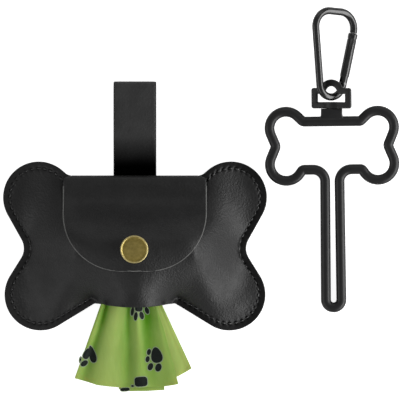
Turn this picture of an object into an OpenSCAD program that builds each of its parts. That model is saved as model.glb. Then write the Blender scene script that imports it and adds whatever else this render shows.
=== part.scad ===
// Bone-shaped leather pouch that dispenses waste bags, lying face up beside the
// bone-shaped wire carrier that hangs filled bags from a lead.
// X runs to the right, Y towards the strap, Z out of the pouch's front; Z = 0 is the table.

/* [Pouch] */
// Overall width over the four lobes
pouch_w = 140; // [120:1:170]
// Overall height over the four lobes
pouch_h = 89.6; // [76:0.2:108]
// Radius of each lobe
lobe_r = 19; // [16:0.5:20]
// Thickness of every leather piece
leather = 1.4; // [1.1:0.1:1.7]
// Depth of the dip between the upper lobes, where the flap folds
top_dip = 7.4; // [6:0.2:9]
// Depth of the dip between the lower lobes, where the bags come out
mouth_dip = 12.6; // [11:0.2:15]
// Width of the mouth that is left unsewn
mouth_w = 43.2; // [36:0.2:50]
// How far each side notch cuts in
waist_in = 11; // [8:0.5:12]
// Distance of the stitching from the edge
seam = 3.7; // [3:0.1:5]
// How far the upper edge of the front panel lies below the flap's fold
front_drop = 10.4; // [8:0.2:12]

/* [Flap] */
// Width of the flap
flap_w = 76; // [66:1:84]
// Radius of the flap's two lower corners
flap_corner_r = 31; // [20:1:32]
// Distance of the flap's tip below the middle of the pouch
flap_tip = 13.1; // [10:0.1:16]
// Outer radius of the flap's fold
crease_r = 3.6; // [3.2:0.1:4.2]

/* [Press studs] */
// Diameter of the cap
cap_d = 14.7; // [12:0.1:16]
// Height of the cap
cap_h = 1.4; // [1:0.1:1.8]
// Distance between the two leathers that a closed stud holds
stud_gap = 2.1; // [2:0.1:2.6]
// Distance of the flap's stud below the middle of the pouch
flap_stud_down = 1.5; // [0:0.1:4]
// Distance of the strap's stud above the middle of the pouch
strap_stud_up = 14; // [12:0.5:18]

/* [Strap] */
// Width of the strap
strap_w = 22.7; // [18:0.1:28]
// Height of the strap's top fold above the middle of the pouch
strap_top = 87.3; // [75:0.1:100]
// Space between the strap's two legs
strap_gap = 5.2; // [5:0.1:7]
// Length of the strap's end that is sewn to the back panel
sewn_l = 11; // [9:0.5:14]

/* [Bag roll] */
// Length of the roll
roll_l = 60; // [48:1:62]
// Outer diameter of the roll
roll_d = 22; // [18:0.5:26]
// Outer diameter of the cardboard core
core_d = 13; // [11:0.5:15]
// Wall of the cardboard core
core_wall = 1; // [0.6:0.1:1.4]

/* [Waste bag] */
// Thickness of the gathered film
film = 0.6; // [0.5:0.1:1]
// Width of the gathered film in the mouth
strip_w = 32; // [26:1:36]
// Length of the bag outside the mouth
bag_l = 45; // [36:1:60]

/* [Carrier] */
// Diameter of the bent bar
rod_d = 5.3; // [4.4:0.1:6]
// Half the width between the bar's upper lobe centres
carrier_lobe_x = 24.4; // [22:0.2:28]
// Radius of the bar's lobes along its centre line
carrier_lobe_r = 8.7; // [7.6:0.1:9.4]
// Distance from the tail's arc to the lower lobe centres
tail_l = 72.1; // [60:0.1:86]
// Radius of the tail's arc along the bar's centre line
tail_r = 4.1; // [3.8:0.1:5]
// Thickness of the flat neck
neck_t = 4.4; // [4:0.1:5]
// Width of the flat neck
neck_w = 11.3; // [10:0.1:13]

/* [Swivel] */
// Width of the swivel yoke
yoke_w = 22.6; // [20:0.1:24]
// Width of the yoke's bars
yoke_bar = 3.4; // [3:0.1:3.6]
// Thickness of the yoke's bars
yoke_t = 2.2; // [1.8:0.1:2.4]
// Diameter of the swivel pin
pin_d = 2.2; // [1.8:0.1:2.4]
// How far the yoke is turned on its pin, in degrees
yoke_turn = 24; // [20:0.5:28]

/* [Snap hook] */
// Diameter of the hook's wire
wire_d = 3.9; // [3.4:0.1:4]
// Length of the hook between the centres of its end bends
hook_l = 30.3; // [27:0.1:37]
// Diameter of the gate
gate_d = 4.9; // [4.6:0.1:5.2]
// Diameter of the gate's hinge pin
gate_pin_d = 1.6; // [1.4:0.1:1.8]
// Turns of the gate spring
spring_turns = 7; // [5:1:9]
// How far the hook is tipped about its length, in degrees
hook_tip = 32; // [28:0.5:36]

/* [Clearances] */
// Space between a soft piece and the piece beside it
soft_gap = 0.3; // [0.2:0.05:0.5]
// Space between the two panels in the sewn rim
seam_gap = 0.2; // [0.1:0.05:0.3]
// Radial space of a turning pin
pin_gap = 0.08; // [0.05:0.01:0.1]
// Radial space of a part that is riveted in place
rivet_gap = 0.05; // [0.02:0.01:0.1]

/* [Hidden] */
$fn = 64;

// Colours as photographed
leather_black = "#262626";
antique_brass = "#8a7b3c";
film_green = "#8fae4e";
carrier_black = "#2a2a2b";
gloss_black = "#1c1c1e";
card_brown = "#b08d61";
spring_steel = "#8d9094";

// Heights of the stack, counted from the table
lift = cap_h + leather + stud_gap;
back_top = lift + leather;
panel_base = back_top + seam_gap;
roll_r = roll_d / 2;
strip_z = back_top + soft_gap;
roll_z = strip_z + film + soft_gap + roll_r;
post_head = 0.6;
crown_h = roll_z + roll_r + soft_gap + post_head + soft_gap - panel_base;
panel_top = panel_base + leather + crown_h;

// Places on the pouch
flap_stud_y = -flap_stud_down;
crease_top = pouch_h / 2 - top_dip;
crease_y = crease_top - crease_r;
crease_z = lift + crease_r;
front_top = crease_top - front_drop;
mouth_y = -pouch_h / 2 + mouth_dip;
droop_from = flap_w / 2 - 2;
droop_to = pouch_w / 2 - 9;

// ---------- Outlines ----------

function clamp01(t) = max(0, min(1, t));
function smooth(t) = let (c = clamp01(t)) c * c * (3 - 2 * c);

// An outline runs anticlockwise round a list of rounds, [x, y, radius, turn, steps].
// A turn of 1 bulges out and a turn of -1 curves in; straight lines join the rounds.
function leave_angle(p, q) =
  let (d = [q[0] - p[0], q[1] - p[1]])
  let (reach = max(-1, min(1, (p[3] * p[2] - q[3] * q[2]) / norm(d))))
  atan2(d[1], d[0]) - acos(reach);
function turned(a, b, turn) =
  let (rest = ((turn * (b - a)) % 360 + 360) % 360)
  a + turn * (rest > 359.9 ? 0 : rest);
function round_angles(rounds, k) =
  let (n = len(rounds))
  let (a = leave_angle(rounds[(k + n - 1) % n], rounds[k]))
  [a, turned(a, leave_angle(rounds[k], rounds[(k + 1) % n]), rounds[k][3])];
function round_points(c, a, b) =
  [for (i = [0:c[4]]) let (t = a + (b - a) * i / c[4])
    [c[0] + c[3] * c[2] * cos(t), c[1] + c[3] * c[2] * sin(t)]];
function outline(rounds) =
  [for (k = [0:len(rounds) - 1]) let (ends = round_angles(rounds, k))
    each round_points(rounds[k], ends[0], ends[1])];

function flipped(c) = [-c[0], c[1], c[2], c[3], c[4]];
function with_mirror(right) =
  concat(right, [for (k = [len(right) - 1:-1:0]) flipped(right[k])]);

// The bone, from the right notch round the top to the left notch and back along the bottom.
lobe_x = pouch_w / 2 - lobe_r;
lobe_y = pouch_h / 2 - lobe_r;
notch_r = 3;
top_fillet_r = 5;
mouth_corner_r = 1.2;
lobe_steps = 14;
edge_steps = 9;
function bulge_r(half, rise) = (half * half + rise * rise) / (2 * rise);
mouth_bulge = bulge_r(mouth_w / 2, 2.4);
top_bulge = 2000;
function fillet_x(y, r) =
  lobe_x - sqrt(max(1, pow(lobe_r + r, 2) - pow(y + r - lobe_y, 2))) - 0.2;
function upper_half(top) = [
  [lobe_x, lobe_y, lobe_r, 1, lobe_steps],
  [fillet_x(top, top_fillet_r), top + top_fillet_r, top_fillet_r, -1, 3],
  [0, top - top_bulge, top_bulge, 1, edge_steps],
  [-fillet_x(top, top_fillet_r), top + top_fillet_r, top_fillet_r, -1, 3],
  [-lobe_x, lobe_y, lobe_r, 1, lobe_steps]
];
lower_half = [
  [-lobe_x + 0.8, -lobe_y, lobe_r, 1, lobe_steps],
  [-mouth_w / 2 + 0.6, mouth_y + 0.6, mouth_corner_r, -1, 3],
  [0, mouth_y + mouth_bulge, mouth_bulge, 1, edge_steps],
  [mouth_w / 2 - 0.6, mouth_y + 0.6, mouth_corner_r, -1, 3],
  [lobe_x - 0.8, -lobe_y, lobe_r, 1, lobe_steps]
];
left_notch = [-pouch_w / 2 + waist_in - notch_r, -1.3, notch_r, -1, 4];
right_notch = [pouch_w / 2 - waist_in + notch_r, -1.3, notch_r, -1, 4];
function bone(top) = outline(concat(upper_half(top), [left_notch], lower_half, [right_notch]));

// ---------- Surfaces ----------

// A closed skin over rows of points; each row is a loop of n points.
function band_faces(rows, n, closed) =
  [for (i = [0:rows - (closed ? 1 : 2)], j = [0:n - 1])
    let (a = i * n + j, b = i * n + (j + 1) % n)
    let (c = ((i + 1) % rows) * n + (j + 1) % n, d = ((i + 1) % rows) * n + j)
    each [[a, b, c], [a, c, d]]];

// The two ends of a flat ribbon whose loops run out along one face and back along the other.
function ribbon_end(first, n, up) =
  [for (k = [0:n / 2 - 2])
    let (a = first + k, b = first + k + 1, c = first + n - 2 - k, d = first + n - 1 - k)
    each (up ? [[a, c, b], [a, d, c]] : [[a, b, c], [a, c, d]])];

module ribbon_solid(loops) {
  n = len(loops[0]);
  rows = len(loops);
  faces = concat(
    band_faces(rows, n, false),
    ribbon_end(0, n, true),
    ribbon_end((rows - 1) * n, n, false));
  polyhedron(points = [for (row = loops) each row], faces = faces);
}

// A flat ribbon's section: the path offset to both sides.
function path_normal(path, i) =
  let (a = path[max(0, i - 1)], b = path[min(len(path) - 1, i + 1)])
  let (d = b - a)
  [-d[1], d[0]] / norm(d);
function ribbon_section(path, t) =
  concat(
    [for (i = [0:len(path) - 1]) path[i] + path_normal(path, i) * t / 2],
    [for (i = [len(path) - 1:-1:0]) path[i] - path_normal(path, i) * t / 2]);

// A section drawn in the YZ plane and drawn out along X, centred
module across(w) {
  rotate([90, 0, 90])
    linear_extrude(height = w, center = true)
      children();
}

// A round bar along a path of points in the XY plane
function bar_loop(path, i, closed, r, sides) =
  let (n = len(path))
  let (a = path[closed ? (i + n - 1) % n : max(0, i - 1)])
  let (b = path[closed ? (i + 1) % n : min(n - 1, i + 1)])
  let (d = (b - a) / norm(b - a))
  [for (k = [0:sides - 1]) let (t = 360 * (k + 0.5) / sides)
    [path[i][0] + r * cos(t) * d[1], path[i][1] - r * cos(t) * d[0], r * sin(t)]];
function disc_face(first, n, up) =
  up ? [for (k = [0:n - 1]) first + k] : [for (k = [n - 1:-1:0]) first + k];

module bar(path, r, sides, closed) {
  n = len(path);
  ends = closed ? [] : [disc_face(0, sides, false), disc_face((n - 1) * sides, sides, true)];
  points = [for (i = [0:n - 1]) each bar_loop(path, i, closed, r, sides)];
  polyhedron(points = points, faces = concat(band_faces(n, sides, closed), ends));
}

// ---------- Pouch ----------

function droop(x) = lift * (1 - smooth((abs(x) - droop_from) / (droop_to - droop_from)));

// How high the front stands over the back: full over the roll, low in the lobes.
lobe_puff = 0.2;
puff_from = roll_l / 2 + 1;
puff_to = puff_from + 20;
function swell_x(x) = lobe_puff + (1 - lobe_puff) * (1 - smooth((abs(x) - puff_from) / (puff_to - puff_from)));
stud_flat = 8;
swell_top = crease_top - 0.9;
swell_bottom = mouth_y - 12;
function swell_y(y) = y > flap_stud_y
  ? cos(90 * clamp01((y - flap_stud_y - stud_flat) / (swell_top - flap_stud_y - stud_flat)))
  : cos(90 * clamp01((flap_stud_y - stud_flat - y) / (flap_stud_y - stud_flat - swell_bottom)));
function swell(x, y) = crown_h * swell_x(x) * swell_y(y);

slab_steps = 36;
module back_panel() {
  color(leather_black)
    on_table()
    difference() {
      intersection() {
        linear_extrude(height = back_top + 1)
          polygon(bone(crease_top));
        rotate([90, 0, 0])
          linear_extrude(height = pouch_h + 2, center = true)
            polygon(ribbon_section(
              [for (i = [0:slab_steps]) let (x = (pouch_w + 2) * (i / slab_steps - 0.5))
                [x, droop(x) + leather / 2]], leather));
      }
      translate([-crease_half - soft_gap, crease_y, -1])
        cube([2 * (crease_half + soft_gap), pouch_h, back_top + 3]);
      translate([0, strap_stud_up, lift - 1])
        cylinder(r = post_r + rivet_gap, h = leather + 2);
    }
}

// The front panel is a shell on rays that run from its edge to a spine along the middle.
rings = 8;
front_rim = bone(front_top);
ray_count = len(front_rim);
spine_half = pouch_w / 2 - waist_in - 11;
function ray_spine(j) = let (k = min(j, ray_count - 1 - j)) spine_half * cos(180 * k / (ray_count / 2 - 1));
rim_start = 2;
function rim_at(j) = front_rim[(j + ray_count - rim_start) % ray_count];
function open_edge(p) =
  p[1] < 0
    ? (abs(p[0]) < mouth_w / 2 - 0.2 ? 0.75 * pow(cos(90 * abs(p[0]) / (mouth_w / 2)), 0.6) : 0)
    : (p[1] < front_top + 3 && abs(p[0]) < top_open_half ? pow(cos(90 * p[0] / top_open_half), 0.5) : 0);
top_open_half = fillet_x(front_top, top_fillet_r) + 4;
rise_l = 18;
function rise(d) = pow(sin(90 * clamp01((d - seam) / rise_l)), 0.9);
function front_point(j, ring, side) =
  let (p = rim_at(j), s = [ray_spine(j), 0])
  let (ray_l = norm(s - p))
  let (d = ring == 0 ? 0 : seam + (ray_l - seam) * (ring - 1) / (rings - 1))
  let (q = p + (s - p) * d / ray_l)
  let (gape = open_edge(p))
  [q[0], q[1], droop(q[0]) + leather + seam_gap + side * leather
    + swell(q[0], q[1]) * (gape + (1 - gape) * rise(d))];
function front_rows() = concat(
  [for (ring = [rings:-1:0]) [for (j = [0:ray_count - 1]) front_point(j, ring, 1)]],
  [for (ring = [0:rings]) [for (j = [0:ray_count - 1]) front_point(j, ring, 0)]]);
// Both ends of the spine rows share their points, so the two halves close on each other.
function shared(v, rows) =
  let (row = floor(v / ray_count), j = v % ray_count)
  row == 0 || row == rows - 1 ? row * ray_count + min(j, ray_count - 1 - j) : v;
function whole(f) = f[0] != f[1] && f[1] != f[2] && f[0] != f[2];

module front_panel() {
  rows = front_rows();
  n = len(rows);
  faces = [for (f = band_faces(n, ray_count, false)) [shared(f[0], n), shared(f[1], n), shared(f[2], n)]];
  color(leather_black)
    on_table()
    difference() {
      polyhedron(points = [for (row = rows) each row], faces = [for (f = faces) if (whole(f)) f]);
      translate([0, flap_stud_y, panel_top - leather - 2])
        cylinder(r = post_r + rivet_gap, h = leather + 4);
    }
}

// ---------- Flap ----------

crease_end = 50;
crease_half = lobe_x - sqrt(pow(lobe_r, 2) - pow(crease_y - lobe_y, 2)) - soft_gap;
flap_arc_y = -flap_tip + flap_corner_r;
flap_flat = flap_w / 2 - flap_corner_r;
flap_close = 1.3;
function flap_gap(y) = stud_gap - flap_close * smooth((y - 12) / (crease_y - 12));
function flap_z(x, y) = panel_base + leather + flap_gap(y) + leather / 2 + swell(x, y);

module flap_fold() {
  sector = 2 * crease_r;
  color(leather_black)
    on_table()
    translate([0, crease_y, crease_z])
      across(2 * crease_half)
        intersection() {
          difference() {
            circle(r = crease_r);
            circle(r = crease_r - leather);
          }
          polygon([[0, 0], [0, -sector], [sector, -sector], [sector, 0],
            [sector * cos(crease_end), sector * sin(crease_end)]]);
        }
}

// Rows of the flap: height up the pouch and half width
straight_rows = 6;
corner_rows = 11;
flap_full_y = crease_y - 1.6;
flap_rows = concat(
  [[crease_y + 0.8, crease_half + 1]],
  [for (i = [0:straight_rows - 1])
    [flap_full_y + (flap_arc_y - flap_full_y) * i / straight_rows, flap_w / 2]],
  [for (i = [0:corner_rows]) let (a = 90 * i / corner_rows)
    [flap_arc_y - flap_corner_r * sin(a), flap_flat + flap_corner_r * cos(a)]]);
flap_columns = 16;
function flap_x(w, k) = w * (2 * k / flap_columns - 1);
function flap_loop(row) = concat(
  [for (k = [0:flap_columns]) let (x = flap_x(row[1], k)) [x, row[0], flap_z(x, row[0]) + leather / 2]],
  [for (k = [flap_columns:-1:0]) let (x = flap_x(row[1], k)) [x, row[0], flap_z(x, row[0]) - leather / 2]]);
// The first row leaves the fold square to it.
flap_start = crease_end + asin(soft_gap / crease_r);
function fold_point(x, r) = [x, crease_y + r * cos(flap_start), crease_z + r * sin(flap_start)];
fold_loop = concat(
  [for (k = [0:flap_columns]) fold_point(flap_x(crease_half, k), crease_r)],
  [for (k = [flap_columns:-1:0]) fold_point(flap_x(crease_half, k), crease_r - leather)]);

module flap() {
  color(leather_black)
    on_table()
    difference() {
      ribbon_solid(concat([fold_loop], [for (row = flap_rows) flap_loop(row)]));
      translate([0, flap_stud_y, panel_top + stud_gap - 1])
        cylinder(r = post_r + rivet_gap, h = leather + 2);
    }
}

// ---------- Press studs ----------
// Each is drawn with Z = 0 on the leather that carries the stud, and Z up to the socket.

post_r = 1.5;
stud_r = 2.3;
stud_h = 1.7;
stud_flange_r = 4.4;
socket_r = 5.2;
socket_bore_r = 3.2;
socket_low = 0.8;
socket_web = 0.35;
post_head_r = 3.2;
cap_r = cap_d / 2;

module stud_cap() {
  base = stud_gap + leather;
  rotate_extrude()
    polygon([[0, stud_gap - socket_web], [post_r, stud_gap - socket_web], [post_r, base],
      [cap_r - 0.5, base], [cap_r, base + 0.3], [cap_r, base + 0.7 * cap_h], [cap_r - 0.35, base + 0.93 * cap_h],
      [cap_r - 0.8, base + cap_h], [cap_r - 1.3, base + 0.93 * cap_h], [cap_r - 1.8, base + 0.72 * cap_h],
      [cap_r - 3.6, base + 0.82 * cap_h], [2, base + 0.92 * cap_h], [0, base + 0.95 * cap_h]]);
}

module stud_socket() {
  rotate_extrude()
    polygon([[post_r + rivet_gap, stud_gap - socket_web], [post_r + rivet_gap, stud_gap],
      [socket_r - 0.3, stud_gap], [socket_r, stud_gap - 0.3], [socket_r, socket_low + 0.5],
      [socket_r - 0.8, socket_low], [socket_bore_r, socket_low], [socket_bore_r, stud_gap - socket_web]]);
}

module stud_ring() {
  bore = post_r - 0.4 + rivet_gap;
  rotate_extrude()
    polygon([[bore, 0], [stud_flange_r, 0], [stud_flange_r, 0.3], [stud_flange_r - 0.3, 0.5], [stud_r - 0.3, 0.5],
      [stud_r - 0.3, 0.9], [stud_r, 1.25], [stud_r, 1.45], [stud_r - 0.25, stud_h], [bore, stud_h]]);
}

module stud_post() {
  rotate_extrude()
    polygon([[0, -leather - post_head], [post_head_r - 0.3, -leather - post_head],
      [post_head_r, -leather - post_head + 0.3], [post_head_r, -leather], [post_r, -leather], [post_r, 0],
      [post_r - 0.4, 0], [post_r - 0.4, stud_h - 0.2], [0, stud_h - 0.2]]);
}

module on_flap_stud() {
  on_table()
    translate([0, flap_stud_y, panel_top])
      children();
}

module on_strap_stud() {
  on_table()
    translate([0, strap_stud_up, lift])
      mirror([0, 0, 1])
        children();
}

module flap_stud_cap() {
  color(antique_brass) on_flap_stud() stud_cap();
}

module flap_stud_socket() {
  color(antique_brass) on_flap_stud() stud_socket();
}

module flap_stud() {
  color(antique_brass) on_flap_stud() stud_ring();
}

module flap_stud_post() {
  color(antique_brass) on_flap_stud() stud_post();
}

module strap_stud_cap() {
  color(antique_brass) on_strap_stud() stud_cap();
}

module strap_stud_socket() {
  color(antique_brass) on_strap_stud() stud_socket();
}

module strap_stud() {
  color(antique_brass) on_strap_stud() stud_ring();
}

module strap_stud_post() {
  color(antique_brass) on_strap_stud() stud_post();
}

// ---------- Strap ----------

strap_fold_r = (strap_gap + 2 * leather) / 2;
strap_fold_y = strap_top - strap_fold_r;
front_leg_z = leather + strap_gap + leather / 2;
tail_rise_from = crease_top + 22;
tail_rise_to = crease_top + 4;
function tail_z(y) = leather / 2 + cap_h * smooth((tail_rise_from - y) / (tail_rise_from - tail_rise_to));
function leg_z(y) =
  lift - leather / 2 + (front_leg_z - lift + leather / 2) * smooth((y - crease_top - 1) / 12);
leg_steps = 12;
tail_steps = 12;

module strap() {
  sewn_y = crease_top - sewn_l;
  color(leather_black)
    on_table()
    across(strap_w)
      polygon(ribbon_section(
        concat(
          [[sewn_y, lift - leather / 2]],
          [for (i = [0:leg_steps]) let (y = crease_top + 14 * i / leg_steps) [y, leg_z(y)]],
          [[strap_fold_y - soft_gap, front_leg_z]]), leather));
}

module strap_fold() {
  side = 2 * strap_fold_r;
  color(leather_black)
    on_table()
    translate([0, strap_fold_y, strap_fold_r])
      across(strap_w)
        intersection() {
          difference() {
            circle(r = strap_fold_r);
            circle(r = strap_fold_r - leather);
          }
          translate([0, -side / 2])
            square([side, side]);
        }
}

tail_end_y = strap_stud_up - 9.5;
module strap_tail() {
  color(leather_black)
    on_table()
    difference() {
      intersection() {
        across(strap_w)
          polygon(ribbon_section(
            concat(
              [[tail_end_y - 1, tail_z(tail_end_y)]],
              [for (i = [0:tail_steps])
                let (y = tail_rise_to + (tail_rise_from - tail_rise_to) * i / tail_steps) [y, tail_z(y)]],
              [[strap_fold_y - soft_gap, leather / 2]]), leather));
        translate([0, 0, -1])
          linear_extrude(height = lift + leather)
            union() {
              translate([0, tail_end_y + strap_w / 2])
                circle(r = strap_w / 2);
              translate([-strap_w / 2, tail_end_y + strap_w / 2])
                square([strap_w, strap_top]);
            }
      }
      translate([0, strap_stud_up, -1])
        cylinder(r = post_r + rivet_gap, h = lift);
    }
}

// ---------- Roll and bag ----------

module along_x(l) {
  translate([-l / 2, 0, roll_z])
    rotate([0, 90, 0])
      children();
}

module roll_core() {
  core_l = roll_l - 1;
  color(card_brown)
    on_table()
    along_x(core_l)
      difference() {
        cylinder(d = core_d, h = core_l);
        translate([0, 0, -1])
          cylinder(d = core_d - 2 * core_wall, h = core_l + 2);
      }
}

module bag_roll() {
  color(film_green)
    on_table()
    along_x(roll_l)
      difference() {
        cylinder(r = roll_r, h = roll_l);
        translate([0, 0, -1])
          cylinder(d = core_d + 2 * rivet_gap, h = roll_l + 2);
      }
}

strip_x = -1.7;
strip_end = mouth_y - 1.2;
module bag_strip() {
  color(film_green)
    on_table()
    translate([strip_x - strip_w / 2, strip_end, strip_z])
      cube([strip_w, -strip_end - 4, film]);
}

// The bag spreads like a fan from the mouth down to the table.
fan_rows = 12;
fan_columns = 10;
fan_left = -14.6;
fan_right = 15.4;
fan_fall = 14;
function fan_x(u, v) =
  strip_x + (u - 0.5) * strip_w + v * (fan_left + (fan_right - fan_left) * u) + 1.5 * u * v * (1 - v);
function fan_foot(u) = bag_l * (0.86 + 0.14 * sin(180 * clamp01(0.12 + 0.86 * u)) - 0.06 * u);
function fan_point(u, v, side) =
  let (out = v * fan_foot(u))
  [fan_x(u, v), strip_end - 0.05 - out, side * film + strip_z * (1 - smooth(out / fan_fall))];

module hanging_bag() {
  loops = [for (i = [0:fan_rows]) let (v = pow(i / fan_rows, 1.2)) concat(
    [for (k = [0:fan_columns]) fan_point(k / fan_columns, v, 1)],
    [for (k = [fan_columns:-1:0]) fan_point(k / fan_columns, v, 0)])];
  color(film_green)
    on_table()
    ribbon_solid(loops);
}

// ---------- Carrier ----------
// Drawn in its own plane: Y = 0 is the centre of the tail's arc and the neck points to +Y.

rod_r = rod_d / 2;
slot_half = tail_r - 0.3;
shoulder_r = 6.4;
shoulder_y = tail_l - 2.9;
notch_y = tail_l + 9.6;
upper_y = tail_l + 19.3;
bar_y = upper_y + 3.3;
bar_half = 14.6;
bend_r = 1.6;
carrier_right = [
  [slot_half + shoulder_r, shoulder_y - shoulder_r, shoulder_r, -1, 6],
  [14.9, shoulder_y - bend_r, bend_r, -1, 2],
  [carrier_lobe_x, tail_l, carrier_lobe_r, 1, 9],
  [carrier_lobe_x + 8.3, notch_y, 2.7, -1, 4],
  [carrier_lobe_x, upper_y, carrier_lobe_r, 1, 9],
  [bar_half, bar_y + bend_r, bend_r, -1, 2]
];
carrier_path = outline(concat([[0, 0, tail_r, 1, 10]], with_mirror(carrier_right)));
bar_sides = 12;

// Radii of the snap hook's bends, and how far the large end's right bend stands out
hook_small_r = 7.2;
hook_left_r = 8.2;
hook_right_r = 9.1;
hook_right_x = 5.6;

// The carrier lies on its tail and on the hook, so its head is raised.
carrier_x = 105.4;
carrier_y = -28.5;
carrier_turn = 0.7;
neck_top = bar_y + 6.5;
yoke_low = neck_top + soft_gap;
yoke_h = 10.9;
ring_y = yoke_low + yoke_h - 2.5;
hook_y = ring_y + hook_small_r - 2.3;
hook_drop = (hook_right_x + hook_right_r) * sin(hook_tip) + gate_d / 2 - 0.08;
hook_reach = hook_y + hook_l - 1.6;
carrier_tilt = asin((hook_drop - rod_r) / (hook_reach + tail_r));

module place_carrier() {
  on_table()
    translate([carrier_x, carrier_y, rod_r + tail_r * sin(carrier_tilt)])
      rotate([carrier_tilt, 0, carrier_turn])
        children();
}

// Everything is drawn from the middle of the pouch, then moved so that the middle of
// the set's footprint is the origin.
set_left = -pouch_w / 2;
set_right = carrier_x + carrier_lobe_x + carrier_lobe_r + rod_r - (upper_y + 2) * sin(carrier_turn);
set_bottom = strip_end - 0.975 * bag_l;
set_top = carrier_y + hook_y + hook_l + hook_left_r + wire_d / 2 - 0.2;
module on_table() {
  translate([-(set_left + set_right) / 2, -(set_bottom + set_top) / 2, 0])
    children();
}

pin_r = pin_d / 2;
pin_head_r = pin_r + 0.55;
pin_head_h = 1.1;
boss_r = pin_head_r + 0.55;
pin_depth = 4.5;

module along_y(y) {
  translate([0, y, 0])
    rotate([-90, 0, 0])
      children();
}

module carrier_frame() {
  edge = 0.6;
  color(carrier_black)
    place_carrier()
      difference() {
        union() {
          bar(carrier_path, rod_r, bar_sides, true);
          translate([0, (bar_y + neck_top) / 2, 0])
            rotate([90, 0, 0])
              linear_extrude(height = neck_top - bar_y, center = true)
                polygon([[-neck_w / 2, -neck_t / 2 + edge], [-neck_w / 2 + edge, -neck_t / 2],
                  [neck_w / 2 - edge, -neck_t / 2], [neck_w / 2, -neck_t / 2 + edge],
                  [neck_w / 2, neck_t / 2 - edge], [neck_w / 2 - edge, neck_t / 2],
                  [-neck_w / 2 + edge, neck_t / 2], [-neck_w / 2, neck_t / 2 - edge]]);
        }
        along_y(neck_top - pin_depth)
          cylinder(r = pin_r + rivet_gap / 2, h = pin_depth + 1);
      }
}

module swivel_pin() {
  head_low = yoke_low + yoke_bar - pin_head_h;
  color(carrier_black)
    place_carrier()
      union() {
        along_y(neck_top - pin_depth + 0.2)
          cylinder(r = pin_r, h = head_low - neck_top + pin_depth - 0.2);
        along_y(head_low)
          cylinder(r = pin_head_r, h = pin_head_h);
      }
}

ring_in_r = yoke_bar;
ring_out_r = 2 * yoke_bar + 0.2;
module swivel_yoke() {
  window_h = yoke_h - 2 * yoke_bar + 0.2;
  corner = 1.3;
  color(carrier_black)
    place_carrier()
      rotate([0, -yoke_turn, 0])
        difference() {
          union() {
            linear_extrude(height = yoke_t, center = true)
              difference() {
                union() {
                  for (side = [-1, 1])
                    for (y = [yoke_low + corner, yoke_low + yoke_h - corner])
                      translate([side * (yoke_w / 2 - corner), y])
                        circle(r = corner);
                  translate([-yoke_w / 2, yoke_low + corner])
                    square([yoke_w, yoke_h - 2 * corner]);
                  translate([-yoke_w / 2 + corner, yoke_low])
                    square([yoke_w - 2 * corner, yoke_h]);
                  translate([0, ring_y])
                    circle(r = ring_out_r);
                }
                translate([-yoke_w / 2 + yoke_bar, yoke_low + yoke_bar])
                  square([yoke_w - 2 * yoke_bar, window_h]);
                translate([0, ring_y])
                  circle(r = ring_in_r);
              }
            along_y(yoke_low)
              cylinder(r = boss_r, h = yoke_bar);
          }
          along_y(yoke_low - 1)
            cylinder(r = pin_r + pin_gap, h = yoke_bar + 2);
          along_y(yoke_low + yoke_bar - pin_head_h - pin_gap)
            cylinder(r = pin_head_r + pin_gap, h = pin_head_h + 1);
        }
}

// ---------- Snap hook ----------
// Drawn flat, with its small bend centred on the origin and its large end towards +Y.

wire_r = wire_d / 2;
gate_r = gate_d / 2;
hook_rounds = [
  [0, 0, hook_small_r, 1, 8],
  [hook_right_x, hook_l - 1.6, hook_right_r, 1, 5],
  [-1.2, hook_l, hook_left_r, 1, 7]
];
gate_angle = leave_angle(hook_rounds[0], hook_rounds[1]);
hinge_in = 1.5;
gate_dir = [-sin(gate_angle), cos(gate_angle)];
gate_foot = [hook_small_r * cos(gate_angle), hook_small_r * sin(gate_angle)] + gate_dir * hinge_in;
gate_head = [hook_right_x, hook_l - 1.6] + hook_right_r * [cos(gate_angle), sin(gate_angle)];
gate_l = norm(gate_head - gate_foot) - 0.4;
gate_bore_r = 1.35;
tang_t = 1.6;
ear_r = gate_r - 0.15;
gate_gap = 0.15;
gate_pin_r = gate_pin_d / 2;
hook_path = let (all = outline(hook_rounds))
  concat([for (i = [hook_rounds[0][4] + 1:len(all) - 1]) all[i]],
    [for (i = [0:hook_rounds[0][4] - 1]) all[i]],
    [gate_foot - gate_dir * (ear_r + soft_gap)]);

module place_hook() {
  place_carrier()
    translate([0, hook_y, 0])
      rotate([0, hook_tip, 0])
        children();
}

// From here Z runs up the gate and Y stands across the hook's plane.
module along_gate() {
  translate([gate_foot[0], gate_foot[1], 0])
    rotate([0, 0, gate_angle])
      rotate([-90, 0, 0])
        children();
}

module hook_body() {
  color(gloss_black)
    place_hook()
      difference() {
        union() {
          bar(hook_path, wire_r, bar_sides, false);
          along_gate()
            rotate([90, 0, 0])
              linear_extrude(height = tang_t, center = true)
                union() {
                  circle(r = ear_r - 0.5);
                  translate([-ear_r + 0.6, -ear_r - 1.2])
                    square([2 * ear_r - 1.2, ear_r + 1.2]);
                }
        }
        along_gate()
          rotate([90, 0, 0])
            cylinder(r = gate_pin_r + pin_gap, h = gate_d, center = true);
      }
}

slot_l = 3.4;
plunger_l = 2.4;
bore_l = 11;
module hook_gate() {
  color(gloss_black)
    place_hook()
      along_gate()
        difference() {
          union() {
            cylinder(r = gate_r, h = gate_l - 0.4);
            translate([0, 0, gate_l - 0.4])
              cylinder(r1 = gate_r, r2 = gate_r - 0.4, h = 0.4);
            intersection() {
              rotate([90, 0, 0])
                cylinder(r = ear_r, h = gate_d, center = true);
              translate([0, 0, -gate_r])
                cylinder(r = gate_r, h = gate_d);
            }
          }
          translate([-gate_r - 1, -tang_t / 2 - gate_gap, -gate_r - 1])
            cube([gate_d + 2, tang_t + 2 * gate_gap, gate_r + 1 + slot_l]);
          cylinder(r = gate_bore_r, h = slot_l + bore_l);
          rotate([90, 0, 0])
            cylinder(r = gate_pin_r + rivet_gap / 2, h = gate_d + 2, center = true);
        }
}

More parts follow.
